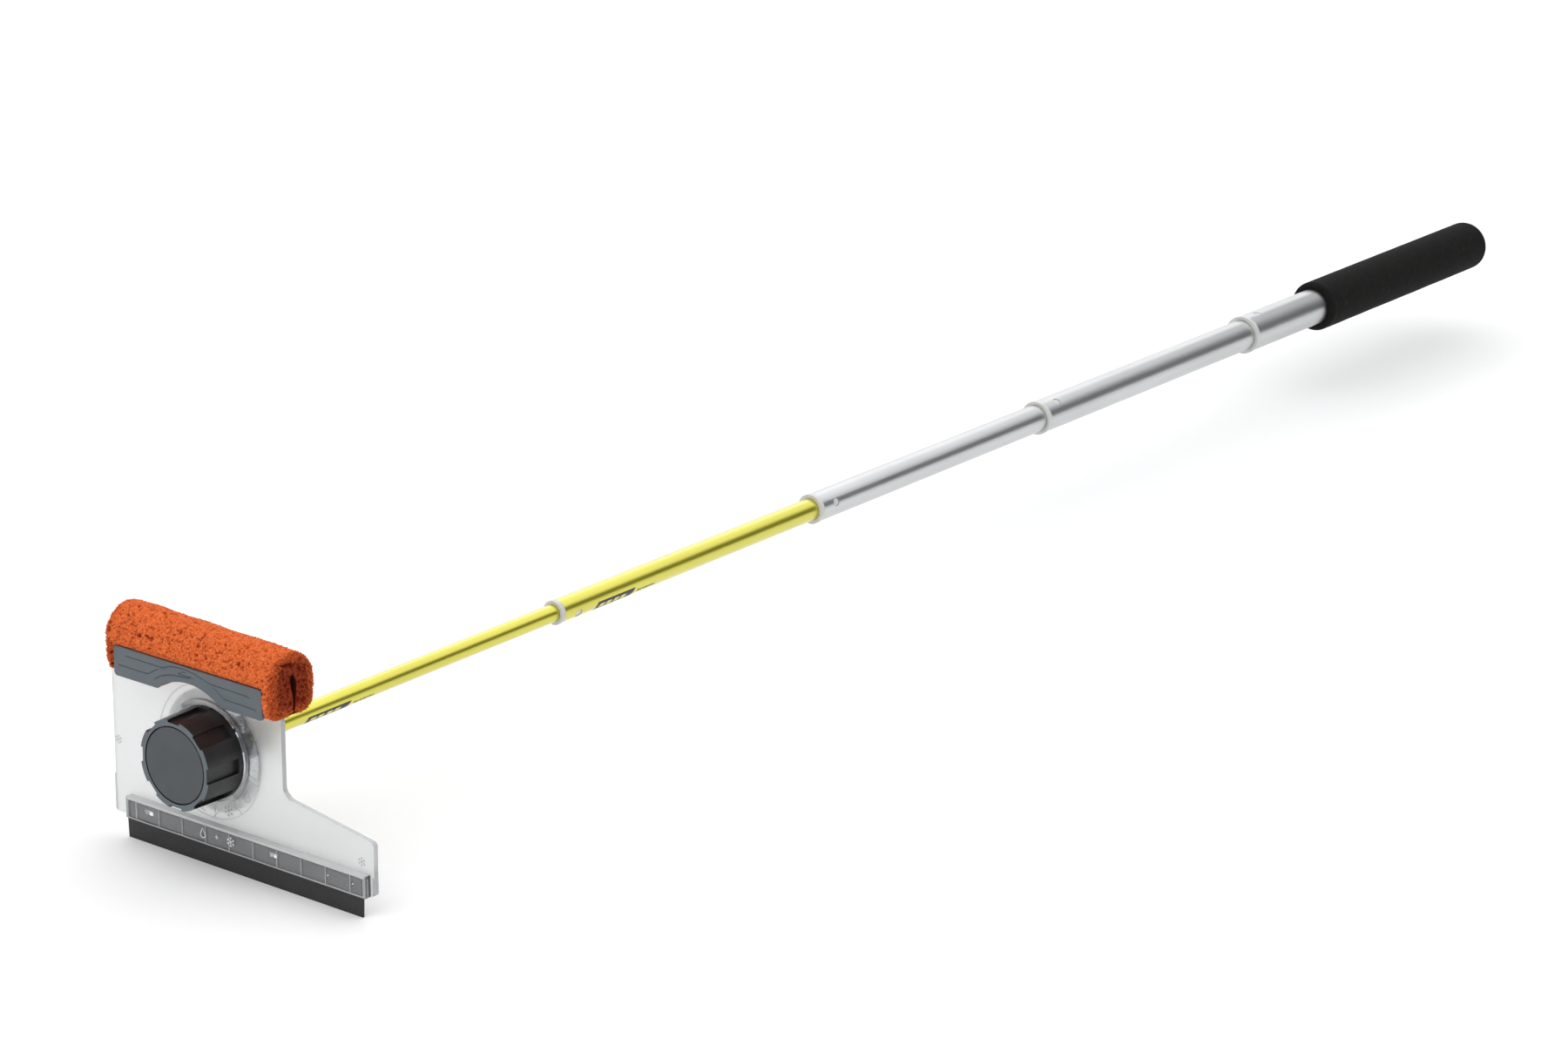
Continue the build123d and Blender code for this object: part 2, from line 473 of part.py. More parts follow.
# ================================================================ knob
knob_front = FRONT - KNOB_FACE
knob_back = FRONT - KNOB_LIFT
length = knob_back - knob_front
knob = Pos(0, (knob_front + knob_back) / 2, 0) * Rot(90, 0, 0) * Cone(
    KNOB_BACK_RADIUS, KNOB_FRONT_RADIUS, length)
knob -= rod(KNOB_FRONT_RADIUS - KNOB_WALL, knob_front + KNOB_FRONT_WALL, knob_back + 1)
washer_front = FRONT - HUB_BOSS_HEIGHT - FACE_GAP - THRUST_WASHER_THICKNESS
boss_radius = (STUD_RADIUS + NUT_WALL) * 2 / 3 ** 0.5 + KNOB_BOSS_WALL
knob += rod(boss_radius, knob_front + KNOB_FRONT_WALL - 1, washer_front)
nut_outline = RegularPolygon(STUD_RADIUS + NUT_WALL, 6, major_radius=False)
knob -= slab(make_face(nut_outline.edges()), washer_front - NUT_LENGTH, washer_front + 1)
knob -= rod(STUD_RADIUS + FREE_GAP, FRONT - STUD_FRONT - 1, washer_front)
knob -= rod(CAP_RADIUS + CAP_RING_GAP, knob_front - 1, knob_front + CAP_THICKNESS)
knob -= rod(CAP_SPIGOT_RADIUS, knob_front, knob_front + CAP_THICKNESS + CAP_SPIGOT_HEIGHT)
pocket_floor = KNOB_FRONT_RADIUS - KNOB_POCKET_DEPTH
for n in range(KNOB_LOBES):
    turn = KNOB_POCKET_TURN + n * 360 / KNOB_LOBES
    knob -= Rot(0, -turn, 0) * block(pocket_floor, KNOB_BACK_RADIUS + 2, knob_front - 1,
                                     FRONT - KNOB_POCKET_BACK, -KNOB_POCKET_WIDTH / 2,
                                     KNOB_POCKET_WIDTH / 2)
save(knob, "knob_body")

cap = rod(CAP_RADIUS, knob_front, knob_front + CAP_THICKNESS)
cap += rod(CAP_SPIGOT_RADIUS, knob_front + CAP_THICKNESS,
           knob_front + CAP_THICKNESS + CAP_SPIGOT_HEIGHT)
save(cap, "knob_cap")

nut = slab(make_face(nut_outline.edges()), washer_front - NUT_LENGTH, washer_front)
nut -= rod(STUD_RADIUS + STUD_FIT, washer_front - NUT_LENGTH - 1, washer_front + 1)
save(nut, "knob_nut")
save(pipe(STUD_RADIUS + THRUST_WASHER_WIDTH, STUD_RADIUS + FREE_GAP, washer_front,
          washer_front + THRUST_WASHER_THICKNESS), "thrust_washer")

# ================================================================ pole adapter and retainer
washer_back = PLATE_BACK + FACE_GAP + FRICTION_WASHER_THICKNESS
flange_back = washer_back + FLANGE_THICKNESS
stud_head = STUD_RADIUS + STUD_HEAD_OVER
save(pipe(FLANGE_RADIUS - FRICTION_WASHER_INSET, stud_head + 1, PLATE_BACK + FACE_GAP, washer_back),
     "friction_washer")
adapter = rod(FLANGE_RADIUS, washer_back, flange_back)
adapter += rod(SOCKET_RADIUS, washer_back, socket_end - SOCKET_TAPER_LENGTH)
adapter += Pos(0, socket_end - SOCKET_TAPER_LENGTH / 2, 0) * Rot(90, 0, 0) * Cone(
    SOCKET_RADIUS - SOCKET_TAPER, SOCKET_RADIUS, SOCKET_TAPER_LENGTH)
tube_outer = TUBE_OD[4] / 2
adapter -= rod(tube_outer, socket_end - SOCKET_TUBE_DEPTH, socket_end + 1)
stud_root = PLATE_BACK + STUD_ROOT
adapter -= rod(STUD_RADIUS, washer_back - 1, stud_root)
adapter -= rod(stud_head, washer_back - 1, washer_back + STUD_HEAD)
adapter -= Pos(0, cross_pin_y, 0) * Cylinder(CROSS_PIN_DIAMETER / 2, 4 * SOCKET_RADIUS)
save(adapter, "pole_adapter")
stud = rod(STUD_RADIUS, FRONT - STUD_FRONT, stud_root)
stud += rod(stud_head, washer_back, washer_back + STUD_HEAD)
stud = chamfer(stud.edges().filter_by(GeomType.CIRCLE).sort_by(Axis.Y)[0:1], 0.8)
save(stud, "clamp_stud")
save(Pos(0, cross_pin_y, 0) * Cylinder(CROSS_PIN_DIAMETER / 2, 2 * (SOCKET_RADIUS - CROSS_PIN_SUNK)),
     "adapter_pin")

pocket = FLANGE_RADIUS + FLANGE_ROOM
ring_outer = pocket + RETAINER_WALL
wall_inner = flange_back + FACE_GAP
retainer_back = wall_inner + RETAINER_WALL
retainer = rod(ring_outer + RETAINER_FLANGE, PLATE_BACK, PLATE_BACK + RETAINER_WALL)
retainer += rod(ring_outer, PLATE_BACK, retainer_back)
retainer -= rod(pocket, PLATE_BACK - 1, wall_inner)
retainer -= rod(SOCKET_RADIUS + SOCKET_FIT, PLATE_BACK - 1, retainer_back + 1)
retainer_screws = []
for turn in RETAINER_SCREW_TURNS:
    place = Rot(0, -turn, 0) * Pos(ring_outer + RETAINER_SCREW_OUT, 0, 0)
    seat = PLATE_BACK + RETAINER_POST_HEIGHT
    retainer += place * rod(RETAINER_POST_RADIUS, PLATE_BACK, seat)
    retainer -= place * rod(RETAINER_SCREW_RADIUS, PLATE_BACK - 1, seat + 1)
    shank = rod(RETAINER_SCREW_RADIUS, PLATE_BACK - RETAINER_SCREW_BITE, seat)
    head = rod(RETAINER_SCREW_HEAD_RADIUS, seat, seat + RETAINER_SCREW_HEAD)
    retainer_screws.append(place * (shank + head))
    plate -= place * rod(RETAINER_SCREW_RADIUS, PLATE_BACK - RETAINER_SCREW_BITE, PLATE_BACK + 1)
save(retainer, "hub_retainer")
save(Compound(children=retainer_screws), "retainer_screws")
save(plate, "scraper_plate")
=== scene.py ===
import math

import bmesh
import bpy
import numpy as np
from mathutils import Matrix, Vector, noise


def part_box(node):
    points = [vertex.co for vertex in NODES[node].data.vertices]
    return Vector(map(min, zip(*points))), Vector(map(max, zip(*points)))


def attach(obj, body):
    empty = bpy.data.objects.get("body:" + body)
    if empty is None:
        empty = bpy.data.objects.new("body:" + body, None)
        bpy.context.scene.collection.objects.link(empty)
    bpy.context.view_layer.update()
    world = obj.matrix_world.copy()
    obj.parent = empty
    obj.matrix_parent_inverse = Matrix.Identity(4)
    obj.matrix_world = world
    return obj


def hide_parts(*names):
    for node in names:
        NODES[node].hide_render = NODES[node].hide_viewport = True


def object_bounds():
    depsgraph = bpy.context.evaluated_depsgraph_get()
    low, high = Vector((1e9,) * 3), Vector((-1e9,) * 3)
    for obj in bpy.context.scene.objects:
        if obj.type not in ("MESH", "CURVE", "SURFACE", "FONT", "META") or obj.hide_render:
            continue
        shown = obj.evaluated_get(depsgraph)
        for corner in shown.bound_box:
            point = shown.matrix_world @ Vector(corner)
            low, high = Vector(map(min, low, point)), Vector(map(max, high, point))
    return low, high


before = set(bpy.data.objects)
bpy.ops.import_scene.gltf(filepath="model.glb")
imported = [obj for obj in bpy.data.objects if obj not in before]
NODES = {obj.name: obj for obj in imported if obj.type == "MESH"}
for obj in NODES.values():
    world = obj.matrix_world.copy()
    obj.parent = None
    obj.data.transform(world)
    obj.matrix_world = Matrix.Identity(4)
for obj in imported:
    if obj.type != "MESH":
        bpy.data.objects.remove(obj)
CAD_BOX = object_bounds()
MM = 0.001

# ---------------------------------------------------------------- places, from the frame
plate_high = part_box("scraper_plate")[1]
bar_low, bar_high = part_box("clamp_bar_front")
sponge_low, sponge_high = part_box("sponge")
holder_low, holder_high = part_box("squeegee_holder")
knob_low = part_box("knob_body")[0]
grip_low, grip_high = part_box("foam_grip")
FRONT_Y = bar_high.y                    # front face of the plate
BACK_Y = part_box("clamp_bar_rear")[0].y  # back face of the plate
MIDDLE_Y = (FRONT_Y + BACK_Y) / 2
FLOOR_Z = CAD_BOX[0].z


# ================================================================ small helpers
def new_object(name, verts, faces, smooth=True):
    """An object in the scene from points and faces."""
    mesh = bpy.data.meshes.new(name)
    mesh.from_pydata([tuple(v) for v in verts], [], faces)
    mesh.validate()
    mesh.update()
    return link(name, mesh, smooth)


def link(name, mesh, smooth=True):
    """An object in the scene from a mesh, shaded smooth unless told not to."""
    piece = bpy.data.objects.new(name, mesh)
    bpy.context.scene.collection.objects.link(piece)
    if smooth:
        mesh.shade_smooth()
    return piece


def finish_piece(piece, body, mat, slot, *replaced):
    """Puts a made piece on its body with its finish."""
    piece.data.materials.clear()
    piece.data.materials.append(mat)
    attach(piece, body)
    if replaced:
        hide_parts(*replaced)
    return piece


def baked(piece):
    """The piece's mesh with its modifiers applied, put back on the piece."""
    bpy.context.view_layer.update()
    graph = bpy.context.evaluated_depsgraph_get()
    mesh = bpy.data.meshes.new_from_object(piece.evaluated_get(graph))
    piece.modifiers.clear()
    piece.data = mesh
    return piece


def smoothstep(a, b, x):
    """0 below a, 1 above b, and smooth between."""
    t = min(1.0, max(0.0, (x - a) / (b - a)))
    return t * t * (3 - 2 * t)


MERGE_DISTANCE = 2e-6
FLAT_ANGLE = math.radians(0.6)          # facets that turn less than this are joined
BEVEL_ANGLE = math.radians(35)          # edges sharper than this are rounded
SHADE_ANGLE = math.radians(32)          # edges sharper than this shade as a crease
BEVEL_SEGMENTS = 2
NORMAL_WEIGHT = 90


def cad_copy(cad, name, width, wall=0.0):
    """A copy of a CAD node's mesh with its sharp edges rounded by the width.

    With a wall, only the edges of side faces that are at least that deep in Y are rounded.
    """
    bm = bmesh.new()
    bm.from_mesh(NODES[cad].data)
    bmesh.ops.remove_doubles(bm, verts=bm.verts, dist=MERGE_DISTANCE)
    bmesh.ops.dissolve_limit(bm, angle_limit=FLAT_ANGLE, verts=bm.verts, edges=bm.edges)

    def deep(face):
        depths = [v.co.y for v in face.verts]
        return abs(face.normal.y) < 0.3 and max(depths) - min(depths) > wall

    def flat(face):
        return abs(face.normal.y) > 0.9

    hard = [e for e in bm.edges if len(e.link_faces) == 2 and e.calc_face_angle(0) > BEVEL_ANGLE]
    if wall:
        hard = [e for e in hard if any(deep(f) for f in e.link_faces)
                and any(flat(f) for f in e.link_faces)]
    bmesh.ops.bevel(bm, geom=hard, offset=width, segments=BEVEL_SEGMENTS, profile=0.5,
                    affect="EDGES", clamp_overlap=not wall)
    bmesh.ops.triangulate(bm, faces=[f for f in bm.faces if len(f.verts) > 4])
    mesh = bpy.data.meshes.new(name)
    bm.to_mesh(mesh)
    bm.free()
    piece = link(name, mesh)
    mesh.set_sharp_from_angle(angle=SHADE_ANGLE)
    even = piece.modifiers.new("even", "WEIGHTED_NORMAL")
    even.keep_sharp = True
    even.weight = NORMAL_WEIGHT
    return baked(piece)


def plain_copy(cad, name):
    """A copy of a CAD node's mesh as it is."""
    mesh = NODES[cad].data.copy()
    mesh.name = name
    piece = bpy.data.objects.new(name, mesh)
    bpy.context.scene.collection.objects.link(piece)
    return piece


def paint(piece, mats, pick):
    """Gives each face of a placed piece the finish that pick chooses by number."""
    piece.data.materials.clear()
    for mat in mats:
        piece.data.materials.append(mat)
    for face in piece.data.polygons:
        face.material_index = pick(face)


# ================================================================ materials
def material(name, color, roughness, metallic=0.0, **sockets):
    """A material with its node tree and its shader; further shader sockets go by name."""
    mat = bpy.data.materials.new(name)
    mat.use_nodes = True
    tree = mat.node_tree
    shader = tree.nodes["Principled BSDF"]
    shader.inputs["Base Color"].default_value = (*color, 1.0)
    shader.inputs["Roughness"].default_value = roughness
    shader.inputs["Metallic"].default_value = metallic
    for key, value in sockets.items():
        shader.inputs[key.replace("_", " ")].default_value = value
    return mat, tree, shader


def node(tree, kind, **settings):
    """A shader node; a setting goes to the input of that name, or else to the property."""
    made = tree.nodes.new("ShaderNode" + kind)
    for key, value in settings.items():
        if key in made.inputs:
            made.inputs[key].default_value = value
        else:
            setattr(made, key, value)
    return made


def stretched_place(tree, scale):
    """Object coordinates in metres times a scale for each axis."""
    place = node(tree, "TexCoord")
    mapping = node(tree, "Mapping")
    mapping.inputs["Scale"].default_value = scale
    tree.links.new(place.outputs["Object"], mapping.inputs["Vector"])
    return mapping.outputs["Vector"]


def noise_value(tree, scale, detail=3.0, rough=0.55, stretch=(1, 1, 1)):
    """Noise over the object's own coordinates."""
    tex = node(tree, "TexNoise")
    tex.inputs["Scale"].default_value = scale
    tex.inputs["Detail"].default_value = detail
    tex.inputs["Roughness"].default_value = rough
    tree.links.new(stretched_place(tree, stretch), tex.inputs["Vector"])
    return tex.outputs["Fac"]


def ramp(tree, value, stops):
    """Color ramp; stops are (place, (r, g, b))."""
    made = node(tree, "ValToRGB")
    elements = made.color_ramp.elements
    while len(elements) < len(stops):
        elements.new(0.5)
    for element, (place, color) in zip(elements, stops):
        element.position = place
        element.color = (*color, 1.0)
    tree.links.new(value, made.inputs["Fac"])
    return made.outputs["Color"]


def grey_ramp(tree, value, low, high, start=0.3, end=0.7):
    """Spreads a value from start to end over the greys from low to high."""
    return ramp(tree, value, [(start, (low,) * 3), (end, (high,) * 3)])


def bump(tree, shader, height, strength, distance):
    """Roughens the shader's normal by a height; the distance is in metres."""
    made = node(tree, "Bump")
    made.inputs["Strength"].default_value = strength
    made.inputs["Distance"].default_value = distance
    tree.links.new(height, made.inputs["Height"])
    tree.links.new(made.outputs["Normal"], shader.inputs["Normal"])


def anodised(name, color, dark):
    """Drawn and anodised tube: fine grain along the pole, slight change of tone."""
    mat, tree, shader = material(name, color, 0.3, 1.0)
    grain = noise_value(tree, 1.0, 4.0, 0.6, (5200, 45, 5200))
    tone = noise_value(tree, 1.0, 2.0, 0.5, (60, 12, 60))
    tree.links.new(ramp(tree, tone, [(0.3, dark), (0.7, color)]), shader.inputs["Base Color"])
    tree.links.new(grey_ramp(tree, grain, 0.29, 0.38), shader.inputs["Roughness"])
    bump(tree, shader, grain, 0.08, 0.00003)
    return mat


def moulded(name, color, light, roughness, grain_scale, grain_height, coat=0.0):
    """Moulded plastic or rubber with a fine eroded texture."""
    mat, tree, shader = material(name, color, roughness, Coat_Weight=coat)
    shader.inputs["Coat Roughness"].default_value = 0.25
    grain = noise_value(tree, grain_scale, 3.0)
    patch = noise_value(tree, 90, 3.0)
    tree.links.new(ramp(tree, patch, [(0.25, color), (0.75, light)]), shader.inputs["Base Color"])
    gloss = grey_ramp(tree, grain, roughness - 0.06, roughness + 0.08)
    tree.links.new(gloss, shader.inputs["Roughness"])
    bump(tree, shader, grain, 0.35, grain_height)
    return mat


SILVER = anodised("anodised silver", (0.63, 0.635, 0.64), (0.58, 0.585, 0.59))
GREEN = anodised("anodised yellow green", (0.68, 0.63, 0.030), (0.62, 0.57, 0.022))
GREEN_SHADER = GREEN.node_tree.nodes["Principled BSDF"]
GREEN_SHADER.inputs["Coat Weight"].default_value = 1.0
GREEN_SHADER.inputs["Coat IOR"].default_value = 1.72
GREEN_SHADER.inputs["Coat Roughness"].default_value = 0.2
# name, colour, light colour, roughness, grains per metre, grain height in metres, coat
PRINT_DARK = moulded("dark print", (0.018, 0.014, 0.02), (0.026, 0.021, 0.03), 0.4, 1500, 2e-6)
PRINT_WHITE = moulded("white print", (0.72, 0.74, 0.75), (0.8, 0.82, 0.83), 0.4, 1500, 2e-6)
ETCH_GREY = moulded("etched mark", (0.56, 0.57, 0.58), (0.62, 0.63, 0.64), 0.4, 1500, 2e-6)
KNOB_BLACK = moulded("knob black", (0.010, 0.010, 0.011), (0.016, 0.016, 0.017), 0.36, 2600,
                     1e-5, 0.3)
BLACK = moulded("adapter black", (0.012, 0.012, 0.013), (0.02, 0.02, 0.02), 0.45, 2200, 3e-5)
GREY = moulded("blue grey texture", (0.088, 0.108, 0.122), (0.105, 0.126, 0.14), 0.46, 2600, 6e-5)
# The knob cap's grey is a painted reflection on black plastic.
CAP_REFLECTION_GREY = moulded("cap reflection grey", (0.048, 0.056, 0.062), (0.058, 0.066, 0.072), 0.5, 3000, 3e-5)
RUBBER = moulded("blade rubber", (0.014, 0.013, 0.014), (0.02, 0.019, 0.02), 0.58, 900, 2e-5)
COLLAR = moulded("milky collar", (0.62, 0.63, 0.61), (0.68, 0.68, 0.67), 0.34, 700, 1e-5)
COLLAR_SHADER = COLLAR.node_tree.nodes["Principled BSDF"]
COLLAR_SHADER.inputs["Subsurface Weight"].default_value = 0.35
COLLAR_SHADER.inputs["Subsurface Scale"].default_value = 0.002


def machined(name, color, roughness):
    """Turned metal with fine rings round the pole axis."""
    mat, tree, shader = material(name, color, roughness, 1.0)
    rings = noise_value(tree, 1.0, 3.0, 0.6, (700, 4000, 700))
    gloss = grey_ramp(tree, rings, roughness - 0.06, roughness + 0.1)
    tree.links.new(gloss, shader.inputs["Roughness"])
    bump(tree, shader, rings, 0.15, 0.00003)
    return mat


STEEL = machined("zinc steel", (0.62, 0.62, 0.63), 0.28)
BRASS = machined("brass", (0.72, 0.53, 0.22), 0.25)

DIAL_RADIUS = 36.3 * MM
DIAL_LINE_HALF = 0.28 * MM
# the polished window beside the knob: radii, and turns from +X to +Z
WINDOW_RADII = (22.0 * MM, 35.3 * MM)
WINDOW_TURNS = (math.radians(-14.0), math.radians(72.0))


def between(tree, value, low, high):
    """1 where the value lies between low and high."""
    made = node(tree, "Math", operation="COMPARE")
    tree.links.new(value, made.inputs[0])
    made.inputs[1].default_value = (low + high) / 2
    made.inputs[2].default_value = (high - low) / 2
    return made.outputs["Value"]


def mixed(tree, factor, a, b):
    """Colour a where the factor is 0 and b where it is 1."""
    mix = node(tree, "Mix", data_type="RGBA")
    tree.links.new(factor, mix.inputs["Factor"])
    for socket, value in (("A", a), ("B", b)):
        if isinstance(value, tuple):
            mix.inputs[socket].default_value = (*value, 1.0)
        else:
            tree.links.new(value, mix.inputs[socket])
    return mix.outputs["Result"]


def around_hub(tree):
    """Radius and turn of a point about the pole axis."""
    place = node(tree, "TexCoord")
    parts = node(tree, "SeparateXYZ")
    tree.links.new(place.outputs["Object"], parts.inputs["Vector"])
    flat = node(tree, "CombineXYZ")
    tree.links.new(parts.outputs["X"], flat.inputs["X"])
    tree.links.new(parts.outputs["Z"], flat.inputs["Z"])
    length = node(tree, "VectorMath", operation="LENGTH")
    tree.links.new(flat.outputs["Vector"], length.inputs[0])
    turn = node(tree, "Math", operation="ARCTAN2")
    tree.links.new(parts.outputs["Z"], turn.inputs[0])
    tree.links.new(parts.outputs["X"], turn.inputs[1])
    return length.outputs["Value"], turn.outputs["Value"]


def clear_plastic(name, color, frost, transmission):
    """Clear plastic with a light frost."""
    mat, tree, shader = material(name, color, frost, IOR=1.5, Transmission_Weight=transmission)
    grain = noise_value(tree, 2400, 3.0)
    tree.links.new(grey_ramp(tree, grain, frost - 0.05, frost + 0.08), shader.inputs["Roughness"])
    bump(tree, shader, grain, 0.2, 0.00002)
    return mat


def frosted_plate():
    """Fine frost on the plate, polished in the window by the knob, with the dial's line."""
    frost, polish = 0.33, 0.05
    frosted_pass, polished_pass = 0.74, 0.97
    mat, tree, shader = material("frosted plate", (0.8, 0.82, 0.82), frost, IOR=1.49,
                                 Transmission_Weight=0.8)
    radius, turn = around_hub(tree)
    both = node(tree, "Math", operation="MULTIPLY")
    tree.links.new(between(tree, radius, *WINDOW_RADII), both.inputs[0])
    tree.links.new(between(tree, turn, *WINDOW_TURNS), both.inputs[1])
    window = both.outputs["Value"]
    grain = noise_value(tree, 1500, 4.0, 0.7)
    rough = grey_ramp(tree, grain, frost - 0.05, frost + 0.07)
    tree.links.new(mixed(tree, window, rough, (polish,) * 3), shader.inputs["Roughness"])
    clear = mixed(tree, window, (frosted_pass,) * 3, (polished_pass,) * 3)
    tree.links.new(clear, shader.inputs["Transmission Weight"])
    line = between(tree, radius, DIAL_RADIUS - DIAL_LINE_HALF, DIAL_RADIUS + DIAL_LINE_HALF)
    tone = mixed(tree, line, (0.90, 0.91, 0.91), (0.66, 0.68, 0.69))
    tree.links.new(mixed(tree, window, tone, (0.93, 0.94, 0.95)), shader.inputs["Base Color"])
    height = node(tree, "Math", operation="MULTIPLY")
    tree.links.new(grain, height.inputs[0])
    outside = node(tree, "Math", operation="SUBTRACT")
    outside.inputs[0].default_value = 1.0
    tree.links.new(window, outside.inputs[1])
    tree.links.new(outside.outputs["Value"], height.inputs[1])
    bump(tree, shader, height.outputs["Value"], 0.15, 0.00003)
    return mat


PLATE = frosted_plate()
# Painted shade on the plate's outer edges: the same clear plastic made greyer.
PLATE_EDGE_SHADE = clear_plastic("plate edge shade", (0.70, 0.72, 0.73), 0.14, 0.5)
CLEAR = clear_plastic("clear holder", (0.90, 0.91, 0.92), 0.14, 0.9)
# Painted highlight on the holder's top rim: the same clear plastic made whiter.
RIM_HIGHLIGHT = clear_plastic("holder rim highlight", (0.92, 0.93, 0.94), 0.15, 0.4)
RETAINER = clear_plastic("clear retainer", (0.80, 0.83, 0.85), 0.1, 0.9)
RETAINER.node_tree.nodes["Principled BSDF"].inputs["Alpha"].default_value = 0.55
# Painted shade on the holder's ribs and front rim: the same clear plastic made greyer.
RIB_SHADE = clear_plastic("holder rib shade", (0.60, 0.62, 0.63), 0.2, 0.45)


def foam_material():
    """Black closed-cell foam of the grip."""
    mat, tree, shader = material("black foam", (0.014, 0.013, 0.013), 0.92)
    cells = node(tree, "TexVoronoi")
    cells.inputs["Scale"].default_value = 1500
    tree.links.new(stretched_place(tree, (1, 1, 1)), cells.inputs["Vector"])
    patch = noise_value(tree, 240, 4.0)
    colors = ramp(tree, patch, [(0.3, (0.003, 0.0026, 0.0024)), (0.62, (0.007, 0.006, 0.0055)),
                                (0.78, (0.016, 0.014, 0.013))])
    tree.links.new(colors, shader.inputs["Base Color"])
    bump(tree, shader, cells.outputs["Distance"], 0.6, 0.00012)
    shader.inputs["Specular IOR Level"].default_value = 0.25
    return mat


FOAM = foam_material()


def sponge_material():
    """Orange open-cell foam; the mesh carries painted shade for each point: in pits, low spots, the
    slit and inside the right end.
    """
    mat, tree, shader = material("orange sponge", (0.75, 0.13, 0.03), 0.95)
    shade_amount = node(tree, "Attribute", attribute_name="painted_shade")
    fine = noise_value(tree, 1100, 5.0, 0.7)
    # Tone of the grain; it follows the same noise as the bump, so the raised grain is painted
    # lighter and its hollows painted darker.
    body = ramp(tree, fine, [(0.28, (0.38, 0.050, 0.012)), (0.45, (0.70, 0.125, 0.028)),
                             (0.68, (0.92, 0.25, 0.085))])
    # Painted shade in pits, low spots and inside the right end: towards dark brown.
    pit_shaded = mixed(tree, shade_amount.outputs["Fac"], body, (0.17, 0.017, 0.006))
    # Painted shade in the slit: values over 1 go on towards near black.
    slit = node(tree, "Math", operation="SUBTRACT", use_clamp=True)
    slit.inputs[1].default_value = 1.0
    tree.links.new(shade_amount.outputs["Fac"], slit.inputs[0])
    tree.links.new(mixed(tree, slit.outputs["Value"], pit_shaded, (0.05, 0.008, 0.004)),
                   shader.inputs["Base Color"])
    shader.inputs["Specular IOR Level"].default_value = 0.1
    bump(tree, shader, fine, 0.6, 0.0003)
    return mat


SPONGE = sponge_material()


# ================================================================ sponge
SPONGE_VOXEL = 0.45 * MM
STATIONS = 110                                       # rings of the loft along the sponge
RING_STEPS = 64                                      # points up one side of a ring
HALF = (sponge_high.y - sponge_low.y) / 2 - 0.6 * MM
BAR_INSIDE = 10.3 * MM                               # plate face to the pressed sponge
PRESSED = BAR_INSIDE + (BACK_Y - FRONT_Y) / 2
CROWN_FALL = 2.2 * MM                                # the crown sinks by this along the wing
LEFT_RISE = 2.2 * MM                                 # the left end is cut this much shorter
PLATE_TOP = plate_high.z
PLATE_EDGE_X = bar_high.x + 1.2 * MM
SLOT_TOP = PLATE_TOP + 1.0 * MM
SLIT_TOP = PLATE_TOP + 6.0 * MM
ARCH_X, ARCH_Z, ARCH_RADIUS = -1.9 * MM, 2.7 * MM, 36.8 * MM     # foam edge over the knob
END_ROUND = 2.6 * MM
SPONGE_LEFT, SPONGE_RIGHT = sponge_low.x + 0.6 * MM, sponge_high.x - 0.4 * MM
CROWN_SUNK = 0.3 * MM                                # room for the roughness on top
CROWN_SHARE = 0.97                                   # height of the round top, of HALF
SWELL_START, SWELL_END = -0.4 * MM, 5.0 * MM         # above the bars, where the foam opens out
FOOT_SHARE, FOOT_WIDENS, FOOT_HEIGHT = 0.94, 0.06, 14 * MM       # free foam is narrower low down
TUCK_DEPTH, TUCK_HEIGHT = 5.0 * MM, 7.0 * MM         # rounding of the lower outer corner
SLIT_HALF, SLIT_WIDER = 0.6 * MM, 1.2 * MM           # half width at the foot, and more at the top
SWAY, SWAY_LENGTH = 1.1 * MM, 7.0 * MM               # how far and how fast the slit wanders


def sponge_top(x):
    """Crown of the foam, which sinks a little along the wing."""
    fall = CROWN_FALL * (x - SPONGE_LEFT) / (SPONGE_RIGHT - SPONGE_LEFT)
    return sponge_high.z - CROWN_SUNK - fall


def sponge_bottom(x):
    """Lower edge of the foam, which follows the arch of the bars over the knob."""
    low = sponge_low.z + LEFT_RISE * (1 - smoothstep(bar_low.x - 1 * MM, bar_low.x + 6 * MM, x))
    reach = ARCH_RADIUS ** 2 - (x - ARCH_X) ** 2
    return max(low, ARCH_Z + math.sqrt(reach)) if reach > 0 else low


def sponge_half_width(x, z, clamped):
    """Half thickness at a height: thin where the bars press, round over the top."""
    crown = CROWN_SHARE * HALF
    t = (z - sponge_top(x) + crown) / crown
    if t > 0:
        return HALF * math.sqrt(max(0.0, 1 - t * t))
    swell = math.sqrt(smoothstep(bar_high.z + SWELL_START, bar_high.z + SWELL_END, z))
    foot = smoothstep(sponge_low.z, sponge_low.z + FOOT_HEIGHT, z)
    free = HALF * (FOOT_SHARE + FOOT_WIDENS * foot)
    low = (z - sponge_low.z) / TUCK_HEIGHT
    tuck = TUCK_DEPTH * (1 - math.sqrt(max(0.0, 1 - (1 - low) ** 2))) if low < 1 else 0.0
    pressed = PRESSED + (HALF - PRESSED) * swell
    return (free - tuck) * (1 - clamped) + pressed * clamped


def slot_half_width(x, z):
    """Half width of the slot: the plate's thickness, then a closing slit past its edge."""
    if z > SLIT_TOP:
        return 0.0
    slit = SLIT_HALF + SLIT_WIDER * smoothstep(sponge_low.z + 6 * MM, SLOT_TOP, z)
    slit *= math.sqrt(max(0.0, 1 - smoothstep(SLOT_TOP, SLIT_TOP, z)))
    if x > PLATE_EDGE_X:
        return slit
    return (BACK_Y - FRONT_Y) / 2 + 0.25 * MM if z <= SLOT_TOP else slit


def slit_sway(x, z):
    """The slit wanders off the middle past the end of the plate."""
    past = smoothstep(PLATE_EDGE_X + 1 * MM, SPONGE_RIGHT, x)
    return SWAY * past * math.sin((z - sponge_low.z) / SWAY_LENGTH)


